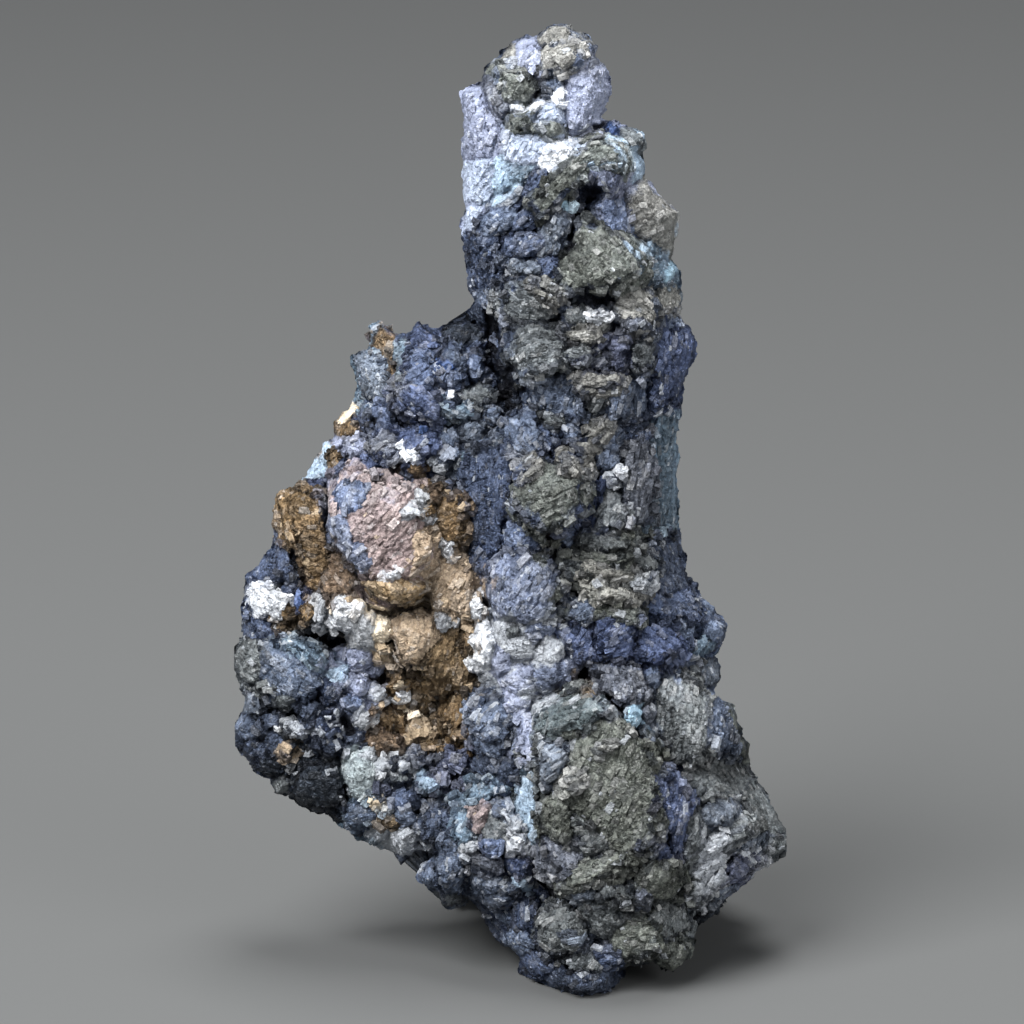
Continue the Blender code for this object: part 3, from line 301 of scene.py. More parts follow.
# Crystals with outlines of their own: the tower's middle
MIDDLE_CRYSTALS = (
    Cut("block", "grey", 2.3, ((-0.8, 58.0), (0.1, 59.6), (1.8, 59.8), (4.0, 58.5), (3.9, 56.9),
        (2.4, 56.8), (0.0, 57.0)), -22),
    Lump("slab", "beige", 2.9, 58.9, 3.0, 0.8, -28, 2.8, -28),
    Lump("slab", "ash", 3.5, 59.3, 0.9, 0.5, -20, 2.6),
    Cut("block", "grey", 2.0, ((4.1, 57.4), (5.2, 58.0), (6.4, 57.6), (6.3, 56.7), (4.6, 56.5))),
    Cut("slab", "beige", 2.1, ((4.2, 56.1), (6.6, 56.4), (7.3, 55.4), (6.4, 54.9), (4.8, 55.2))),
    Cut("slab", "white", 2.7, ((6.6, 57.4), (7.0, 57.8), (7.6, 57.4), (7.4, 56.8), (6.8, 56.9))),
    Cut("block", "ash", 1.9, ((7.0, 56.9), (7.9, 57.2), (8.0, 56.2), (7.2, 55.9))),
    Cut("dome", "beige", 2.6, ((8.2, 58.0), (8.8, 59.4), (10.4, 60.0), (12.0, 59.3), (12.2, 57.4),
        (11.6, 55.8), (10.2, 55.4), (9.6, 56.6))),
    Lump("dome", "mauve", 10.6, 56.7, 2.2, 1.3, -10, 2.9),
    Lump("dome", "silver", 10.7, 56.6, 0.8, 0.6, 0, 3.1),
    Cut("block", "grey", 2.0, ((9.9, 54.8), (10.6, 55.2), (11.8, 54.9), (11.9, 53.6), (10.8, 52.9),
        (10.0, 53.5))),
    Cut("block", "grey", 2.7, ((-0.5, 54.8), (0.1, 56.1), (1.4, 56.8), (3.6, 56.3), (4.4, 55.0),
        (4.1, 53.7), (2.0, 52.9), (0.4, 52.7), (-0.3, 53.6)), 10),
    Cut("block", "grey", 2.0, ((3.8, 55.0), (6.2, 55.3), (6.9, 54.4), (5.4, 53.6), (3.4, 53.5)), 5),
    Lump("block", "violet", 7.4, 55.2, 1.8, 1.5, 0, 1.6),
    Lump("block", "violet", 8.7, 54.9, 1.7, 1.6, 20, 1.7),
    Lump("block", "violet", 8.9, 53.5, 1.6, 1.3, 0, 1.5),
    Lump("slab", "mauve", 7.3, 53.7, 2.0, 1.1, 0, 1.4),
    Cut("slab", "iris", 1.0, ((12.3, 57.9), (13.4, 58.2), (14.8, 56.6), (15.4, 55.4), (14.9, 53.0),
        (14.2, 51.0), (12.6, 50.0), (12.1, 53.6)), 78),
    Cut("slab", "slate", 1.1, ((0.8, 52.5), (3.2, 52.2), (5.6, 52.0), (6.0, 50.4), (5.9, 49.0),
        (3.4, 49.3), (1.8, 50.2)), 70),
    Cut("slab", "beige", 2.1, ((5.4, 52.0), (6.4, 52.4), (8.6, 52.8), (9.2, 52.0), (7.6, 51.4),
        (6.0, 51.5)), 8),
    Cut("slab", "beige", 1.8, ((6.0, 51.6), (7.8, 51.5), (9.2, 51.4), (9.1, 50.6), (7.6, 50.6),
        (6.1, 50.7)), 5),
    Cut("block", "grey", 1.5, ((6.0, 50.7), (7.9, 50.6), (7.6, 49.6), (6.9, 48.8), (6.2, 49.6)), 85),
    Cut("slab", "slate", 0.9, ((8.2, 50.6), (9.3, 51.6), (11.3, 52.4), (11.6, 50.2), (10.8, 49.0),
        (8.4, 49.2)), 75),
    Lump("block", "grey", 3.6, 48.6, 2.0, 1.3, -10, 1.4),
    Lump("block", "beige", 7.0, 47.8, 2.1, 1.2, 32, 1.9, 32),
    Lump("slab", "beige", 6.3, 46.7, 1.8, 1.0, 20, 1.7, 20),
    Lump("dome", "slate", 5.0, 47.8, 1.6, 1.4, 0, 1.2),
    Cut("dome", "slate", 2.0, ((-0.8, 47.8), (0.0, 49.3), (1.5, 49.4), (2.6, 47.8), (2.3, 46.2),
        (0.8, 45.5), (-0.3, 46.4)), -55),
    Lump("block", "indigo", 3.0, 47.2, 1.3, 2.8, 30, 1.2, -60),
    Lump("dome", "slate", 8.6, 47.2, 2.2, 2.0, 0, 1.2),
    Lump("dome", "slate", 8.2, 45.4, 2.0, 1.6, 0, 1.2),
    Cut("block", "olive", 3.6, ((-0.3, 43.3), (0.4, 44.8), (2.2, 45.5), (4.6, 45.1), (5.8, 43.9),
        (5.7, 41.9), (4.2, 40.4), (3.0, 39.6), (1.2, 40.9), (0.0, 42.0)), 25),
    Lump("slab", "beige", 5.1, 44.3, 1.5, 0.9, -35, 3.6),
    Lump("slab", "beige", 1.4, 44.2, 2.0, 0.7, 35, 3.7, 35),
    Lump("block", "periwinkle", 1.5, 41.4, 1.6, 0.9, -35, 2.8),
    Lump("slab", "white", 9.1, 44.2, 0.35, 1.0, -8, 1.6),
    Lump("slab", "silver", 8.7, 43.7, 0.7, 0.3, 10, 1.6),
    Cut("slab", "mauve", 1.2, ((9.6, 47.2), (11.6, 47.2), (12.0, 44.2), (11.7, 40.4), (9.9, 40.2),
        (9.2, 43.4)), 82),
    Cut("slab", "teal", 0.8, ((12.2, 50.0), (13.9, 49.2), (13.9, 43.0), (14.0, 40.0), (12.3, 39.8),
        (12.1, 45.0)), 86),
    Cut("block", "grey", 1.5, ((7.1, 41.2), (7.8, 43.2), (9.2, 42.6), (9.6, 40.4), (7.6, 39.8)), 70),
    Cut("slab", "iris", 0.9, ((5.8, 43.0), (7.4, 43.4), (7.2, 41.2), (7.0, 39.9), (5.7, 40.2)), 75),
    Cut("dome", "periwinkle", 1.7, ((-0.8, 39.2), (0.0, 40.8), (1.4, 40.9), (2.5, 39.1), (2.3, 37.9),
        (0.7, 37.7), (-0.6, 38.2))),
    Lump("dome", "slate", -0.2, 41.4, 1.5, 1.3, 0, 1.2),
    Lump("block", "slate", 4.8, 38.9, 1.5, 2.1, 20, 1.0),
    Cut("slab", "grey", 1.5, ((5.6, 39.4), (8.6, 39.2), (9.8, 38.2), (6.4, 37.6), (5.2, 38.4)), -8),
    Lump("slab", "olive", 7.6, 37.2, 5.2, 1.4, -8, 1.9, -8),
    Lump("slab", "beige", 8.6, 35.8, 5.6, 1.5, -10, 2.0, -10),
    Lump("slab", "beige", 9.4, 34.2, 6.0, 1.4, -14, 2.1, -14),
    Lump("slab", "olive", 8.6, 32.8, 5.4, 1.4, -10, 1.8, -10),
    Lump("slab", "grey", 5.8, 36.2, 2.8, 1.3, -20, 1.6, -20),
    Lump("slab", "slate", 6.4, 33.2, 3.0, 1.8, 38, 1.5, 38),
    Lump("slab", "grey", 11.2, 37.0, 3.2, 1.3, -24, 1.4, -24),
    Lump("slab", "silver", 11.0, 35.2, 1.2, 0.5, -10, 2.3),
    Lump("block", "iris", 4.7, 36.6, 1.8, 1.3, 10, 1.0),
    Cut("dome", "haze", 2.3, ((-2.1, 36.4), (-0.6, 37.8), (1.6, 37.8), (3.2, 36.4), (4.0, 34.6),
        (3.8, 32.8), (1.4, 31.8), (-0.8, 32.4), (-2.0, 34.0)), 60),
    Cut("block", "navy", 0.8, ((12.0, 38.4), (14.0, 38.6), (14.6, 36.4), (15.4, 34.4), (13.0, 34.0),
        (11.6, 35.4)), -35),
    Cut("block", "indigo", 1.0, ((11.4, 34.2), (15.2, 34.6), (16.0, 32.0), (13.0, 32.2), (11.6, 32.6)),
        -20),
    Cut("slab", "iris", 1.4, ((4.2, 31.4), (5.8, 31.8), (6.8, 30.6), (7.2, 28.9), (5.6, 28.8),
        (4.6, 29.8)), 60),
    Cut("slab", "iris", 1.5, ((7.8, 31.6), (10.6, 31.8), (10.4, 30.0), (10.0, 28.8), (8.0, 28.7),
        (7.5, 30.0)), 20),
    Cut("slab", "iris", 1.3, ((10.9, 31.6), (13.6, 31.4), (14.6, 29.8), (12.4, 28.6), (10.7, 29.0)), -30),
    Lump("dome", "slate", 16.6, 33.0, 1.7, 1.6, 0, 0.6),
    Lump("block", "slate", 17.3, 31.0, 2.0, 2.2, 0, 0.7),
    Lump("dome", "teal", 16.2, 29.6, 1.9, 1.7, 0, 0.9),
    Lump("block", "steel", 16.9, 27.4, 2.0, 2.2, 0, 0.9),
    Lump("dome", "navy", 15.1, 27.9, 1.5, 1.5, 0, 0.6),
    Lump("dome", "slate", 14.8, 31.2, 1.8, 2.0, 0, 0.9),
)

# Crystals with outlines of their own: the foot and the lower right
FOOT_CRYSTALS = (
    Lump("block", "silver", 0.9, 29.7, 2.6, 2.0, 10, 1.5),
    Lump("block", "silver", 3.2, 29.2, 2.2, 2.4, 0, 1.6),
    Lump("block", "lavender", -0.8, 28.6, 1.5, 2.4, 0, 1.3),
    Lump("block", "haze", 2.8, 27.2, 2.6, 2.0, 20, 1.7),
    Lump("block", "lavender", 0.5, 26.8, 2.2, 2.0, 0, 1.6),
    Lump("block", "silver", -0.7, 30.9, 1.8, 1.7, 0, 1.3),
    Lump("dome", "grey", 0.1, 30.9, 1.2, 1.0, 0, 1.9),
    Lump("block", "haze", 2.4, 31.2, 2.8, 1.2, 15, 1.6, 20),
    Lump("block", "haze", 4.4, 27.4, 1.6, 2.2, 0, 1.4),
    Lump("block", "lavender", 0.4, 25.0, 2.0, 1.6, 0, 1.6),
    Cut("block", "mauve", 2.2, ((7.2, 28.2), (8.8, 28.7), (11.2, 28.1), (11.3, 26.0), (10.2, 25.2),
        (8.6, 25.4), (7.6, 26.0)), 88),
    Lump("dome", "slate", 12.0, 27.2, 1.8, 2.2, 0, 1.4),
    Cut("block", "cyan", 3.0, ((9.3, 24.0), (10.2, 24.6), (11.0, 24.0), (10.9, 23.1), (9.9, 22.9))),
    Lump("dome", "mauve", 11.7, 24.1, 1.6, 1.6, 0, 2.0),
    Lump("block", "silver", 12.4, 22.4, 0.9, 1.6, 20, 1.8),
    Lump("dome", "teal", 11.2, 22.8, 2.2, 1.2, -20, 1.6),
    Lump("block", "cyan", 7.6, 24.6, 1.0, 0.9, 0, 3.0),
    Cut("block", "grey", 2.7, ((12.1, 26.4), (13.4, 27.4), (15.0, 27.0), (16.4, 25.6), (16.6, 21.6),
        (15.6, 20.4), (13.8, 20.6), (12.6, 22.2), (12.0, 24.4)), 80),
    Cut("block", "slate", 2.1, ((16.4, 26.6), (17.4, 25.8), (18.2, 23.0), (19.0, 21.0), (17.4, 20.6),
        (16.4, 21.8)), 75),
    Cut("slab", "olive", 1.2, ((17.9, 24.8), (18.8, 24.5), (19.4, 22.6), (20.1, 21.2), (20.0, 20.0),
        (18.8, 21.0), (18.0, 23.2)), 80),
    Lump("dome", "cyan", 14.4, 20.1, 1.1, 1.1, 0, 2.0),
    Cut("block", "grey", 1.8, ((14.4, 19.6), (16.4, 20.6), (19.6, 20.0), (20.9, 18.4), (19.6, 17.2),
        (16.4, 17.4), (15.0, 18.0)), -10),
    Cut("block", "grey", 1.0, ((19.8, 18.6), (21.2, 17.8), (22.6, 15.6), (23.8, 13.6), (21.2, 13.4),
        (19.8, 15.4)), -50),
    Lump("dome", "steel", 17.5, 15.7, 2.9, 2.1, 5, 2.0),
    Lump("block", "grey", 15.4, 16.2, 2.0, 3.0, 20, 1.2),
    # Striated slabs of the lower right: their ridges are real, and their silver is a painted highlight, the
    # striations' reflection of the light
    Lump("slab", "silver", 16.9, 13.0, 4.6, 1.0, 28, 1.8, 28),
    Lump("slab", "grey", 18.8, 13.4, 4.6, 1.0, 30, 1.9, 30),
    Lump("block", "steel", 20.8, 13.4, 2.2, 1.7, 35, 1.6, 50),
    Lump("slab", "silver", 16.6, 10.9, 3.4, 1.0, 36, 2.0, 36),
    Lump("block", "silver", 15.9, 9.5, 2.0, 1.7, 40, 2.1, 60),
    Lump("slab", "silver", 17.5, 10.0, 2.6, 1.0, 35, 1.8, 35),
    Lump("block", "violet", 19.3, 10.6, 3.2, 1.8, 40, 1.4, -45),
    Lump("slab", "silver", 20.3, 11.7, 2.0, 0.7, -40, 1.9, -40),
    Lump("block", "grey", 22.3, 12.5, 2.8, 1.8, 10, 0.9, 35),
    Lump("slab", "steel", 17.9, 8.9, 2.8, 1.1, 35, 0.9, 35),
    Cut("block", "olive", 4.6, ((3.2, 18.8), (5.0, 22.2), (6.8, 24.2), (8.6, 23.6), (11.6, 20.6),
        (12.2, 17.0), (11.4, 13.4), (9.4, 12.6), (4.4, 14.6), (3.0, 16.2))),
    Cut("block", "moss", 3.7, ((1.9, 22.9), (2.2, 24.2), (5.0, 26.0), (6.4, 26.0), (8.0, 24.4),
        (6.2, 23.2), (3.0, 22.0)), 25),
    Cut("block", "steel", 3.8, ((2.2, 21.8), (4.6, 21.8), (4.6, 19.0), (3.2, 18.0), (2.3, 19.4)), 30),
    Cut("block", "olive", 4.1, ((2.4, 17.0), (4.6, 17.6), (5.4, 14.4), (4.6, 13.0), (2.8, 14.6)), 60),
    Cut("slab", "mauve", 3.8, ((2.6, 14.0), (3.4, 13.6), (6.2, 12.2), (4.8, 11.0), (3.2, 12.0)), -40),
    Cut("block", "grey", 4.2, ((5.4, 14.8), (10.4, 14.9), (10.6, 12.6), (8.2, 11.6), (6.0, 12.4)), 10),
    Cut("slab", "olive", 4.3, ((4.4, 11.6), (8.8, 12.4), (9.4, 11.8), (6.4, 10.0), (4.6, 9.6)), 20),
    Lump("slab", "ash", 8.9, 13.6, 2.4, 0.9, -5, 4.5),
    Lump("slab", "white", 10.2, 15.6, 0.6, 1.0, 0, 4.6),
    Lump("slab", "ash", 8.0, 21.4, 2.2, 0.8, 12, 4.8, 12),
    Lump("slab", "steel", 9.0, 18.6, 1.8, 2.2, -10, 4.7),
    Lump("slab", "ash", 5.6, 18.8, 2.6, 0.9, 30, 4.8, 30),
    Cut("slab", "iris", 3.3, ((11.2, 18.8), (13.6, 18.6), (15.0, 16.8), (14.8, 12.0), (12.6, 11.2),
        (11.2, 13.6)), 80),
    Cut("block", "olive", 3.1, ((10.6, 22.4), (13.4, 20.8), (14.6, 18.6), (12.8, 18.4), (11.2, 20.2)), -45),
    Cut("block", "grey", 2.6, ((14.6, 16.8), (16.0, 15.6), (15.8, 12.6), (14.6, 11.6), (14.4, 14.0)), 70),
    Lump("block", "steel", 6.0, 9.2, 2.5, 1.5, -5, 2.6),
    Lump("block", "grey", 7.9, 9.7, 1.9, 1.7, 0, 2.7),
    Lump("block", "grey", 9.4, 9.2, 1.7, 1.7, 0, 2.6),
    Cut("block", "olive", 2.5, ((10.4, 11.2), (13.8, 11.4), (14.6, 9.6), (13.6, 8.2), (11.0, 8.4),
        (10.0, 9.8))),
    Lump("block", "mauve", 10.7, 8.6, 1.2, 1.2, 0, 2.7),
    Cut("slab", "sky", 2.5, ((0.0, 16.4), (0.9, 18.6), (2.0, 18.8), (2.2, 16.4), (1.9, 13.6), (1.1, 13.3),
        (0.5, 14.6)), 75),
    Cut("block", "teal", 2.2, ((0.4, 18.8), (1.2, 19.9), (2.2, 19.4), (2.0, 18.4))),
    Cut("slab", "lavender", 2.3, ((0.6, 22.4), (0.9, 24.2), (1.9, 23.8), (2.1, 21.4), (1.8, 19.7),
        (0.9, 20.2)), 85),
    Cut("block", "slate", 3.1, ((-3.4, 24.1), (-2.2, 25.2), (-0.6, 25.2), (0.2, 23.8), (-0.4, 22.2),
        (-1.6, 21.9), (-3.0, 22.8)), 50),
    Cut("block", "slate", 2.5, ((-3.0, 22.6), (-1.6, 21.8), (-0.7, 20.9), (-0.8, 20.0), (-1.8, 20.4),
        (-3.2, 21.6)), -45),
    Lump("block", "silver", -3.5, 22.8, 1.0, 2.8, 20, 2.1),
    Lump("block", "violet", -3.3, 21.4, 1.5, 1.2, -30, 2.0),
    Lump("block", "navy", -0.4, 19.2, 2.5, 1.9, 5, 2.3, 20),
    Lump("block", "navy", -2.4, 19.6, 2.3, 1.9, -10, 1.9),
    Lump("block", "violet", -4.7, 19.9, 2.4, 1.9, 0, 1.7),
    Cut("block", "teal", 2.9, ((-4.6, 16.8), (-3.4, 18.2), (-1.6, 18.2), (-0.8, 17.6), (-2.0, 16.6),
        (-4.0, 15.8)), 20),
    Cut("block", "grey", 4.1, ((-2.6, 15.8), (-1.4, 16.2), (0.2, 14.4), (0.0, 12.8), (-1.6, 12.2),
        (-2.8, 13.6))),
    Lump("slab", "silver", -0.1, 15.0, 3.2, 0.6, -52, 4.4, -52),
    Lump("slab", "white", 0.5, 13.2, 0.9, 1.6, -15, 4.2),
    Lump("block", "pink", -2.7, 15.0, 1.3, 2.5, -25, 4.0),
    Lump("dome", "periwinkle", -1.6, 12.9, 2.1, 1.7, 0, 4.5),
    Cut("block", "iris", 3.7, ((-0.4, 12.2), (0.6, 12.2), (1.4, 11.4), (0.9, 10.5), (-0.4, 10.6),
        (-0.8, 11.4))),
    Cut("dome", "slate", 3.1, ((-3.6, 10.2), (-2.4, 11.2), (-0.8, 10.6), (0.8, 9.4), (-0.4, 8.0),
        (-2.0, 7.2), (-3.6, 8.6)), 60),
    Cut("slab", "mauve", 3.4, ((-3.7, 12.0), (-2.6, 12.4), (-1.0, 11.4), (-1.8, 10.6), (-3.4, 11.0)), -20),
    Lump("block", "teal", -3.9, 14.6, 1.9, 3.4, 15, 2.9, 70),
    Lump("slab", "silver", -3.2, 12.6, 0.9, 0.9, 0, 3.8),
    Lump("dome", "sky", 0.5, 9.9, 1.5, 1.3, 0, 2.9),
    Cut("dome", "slate", 2.7, ((-6.3, 13.6), (-5.2, 14.6), (-4.2, 13.0), (-3.9, 11.0), (-4.2, 8.6),
        (-5.8, 8.2), (-6.4, 10.6)), 70),
    Cut("block", "slate", 1.6, ((-7.9, 10.0), (-7.2, 11.0), (-6.2, 11.2), (-6.2, 8.8), (-7.2, 9.4))),
    Cut("block", "grey", 2.0, ((-5.9, 8.6), (-4.2, 9.0), (-3.9, 7.8), (-5.4, 7.3))),
    Cut("block", "navy", 2.0, ((-7.6, 14.6), (-6.6, 16.1), (-5.4, 15.8), (-4.6, 15.0), (-5.6, 13.8),
        (-7.0, 13.2))),
    Cut("dome", "grey", 2.6, ((2.2, 6.6), (3.4, 7.8), (5.2, 7.4), (6.4, 6.0), (5.8, 4.2), (3.4, 3.8),
        (2.0, 4.8))),
    Lump("dome", "steel", 4.9, 5.4, 2.5, 1.9, -20, 2.7),
    Cut("block", "grey", 2.0, ((6.4, 7.6), (8.6, 7.8), (9.6, 6.4), (8.6, 4.8), (6.6, 5.4))),
    Cut("block", "olive", 2.1, ((8.4, 7.2), (11.0, 7.0), (12.2, 6.2), (12.0, 4.2), (9.8, 3.6), (8.2, 5.0))),
    Lump("block", "grey", 13.5, 6.6, 3.6, 2.8, 0, 1.6),
    Cut("dome", "olive", 1.5, ((12.0, 3.8), (12.8, 4.8), (14.4, 4.6), (15.3, 3.6), (14.6, 2.4),
        (13.6, 2.0), (12.4, 2.6))),
    Lump("block", "grey", 10.8, 3.6, 2.8, 1.5, 5, 1.3),
    Lump("block", "indigo", 0.9, 7.0, 1.7, 2.8, -10, 1.7, 80),
    Lump("block", "slate", -0.6, 6.6, 2.3, 1.5, -30, 1.3, -35),
    Lump("block", "navy", -2.0, 6.6, 2.8, 1.4, -40, 0.9, -40),
    Lump("dome", "slate", 0.6, 4.5, 2.4, 2.4, 0, 1.5),
    Lump("block", "indigo", 2.2, 2.7, 3.0, 1.8, -15, 1.3),
    Lump("block", "navy", 4.4, 1.6, 3.8, 2.0, -12, 1.4),
    Lump("block", "navy", 7.1, 1.4, 4.0, 2.1, 8, 1.6),
    Lump("block", "indigo", 8.1, 3.2, 2.8, 1.5, 10, 1.4),
    Lump("block", "grey", 5.9, 3.2, 3.2, 1.6, 0, 1.6),
)

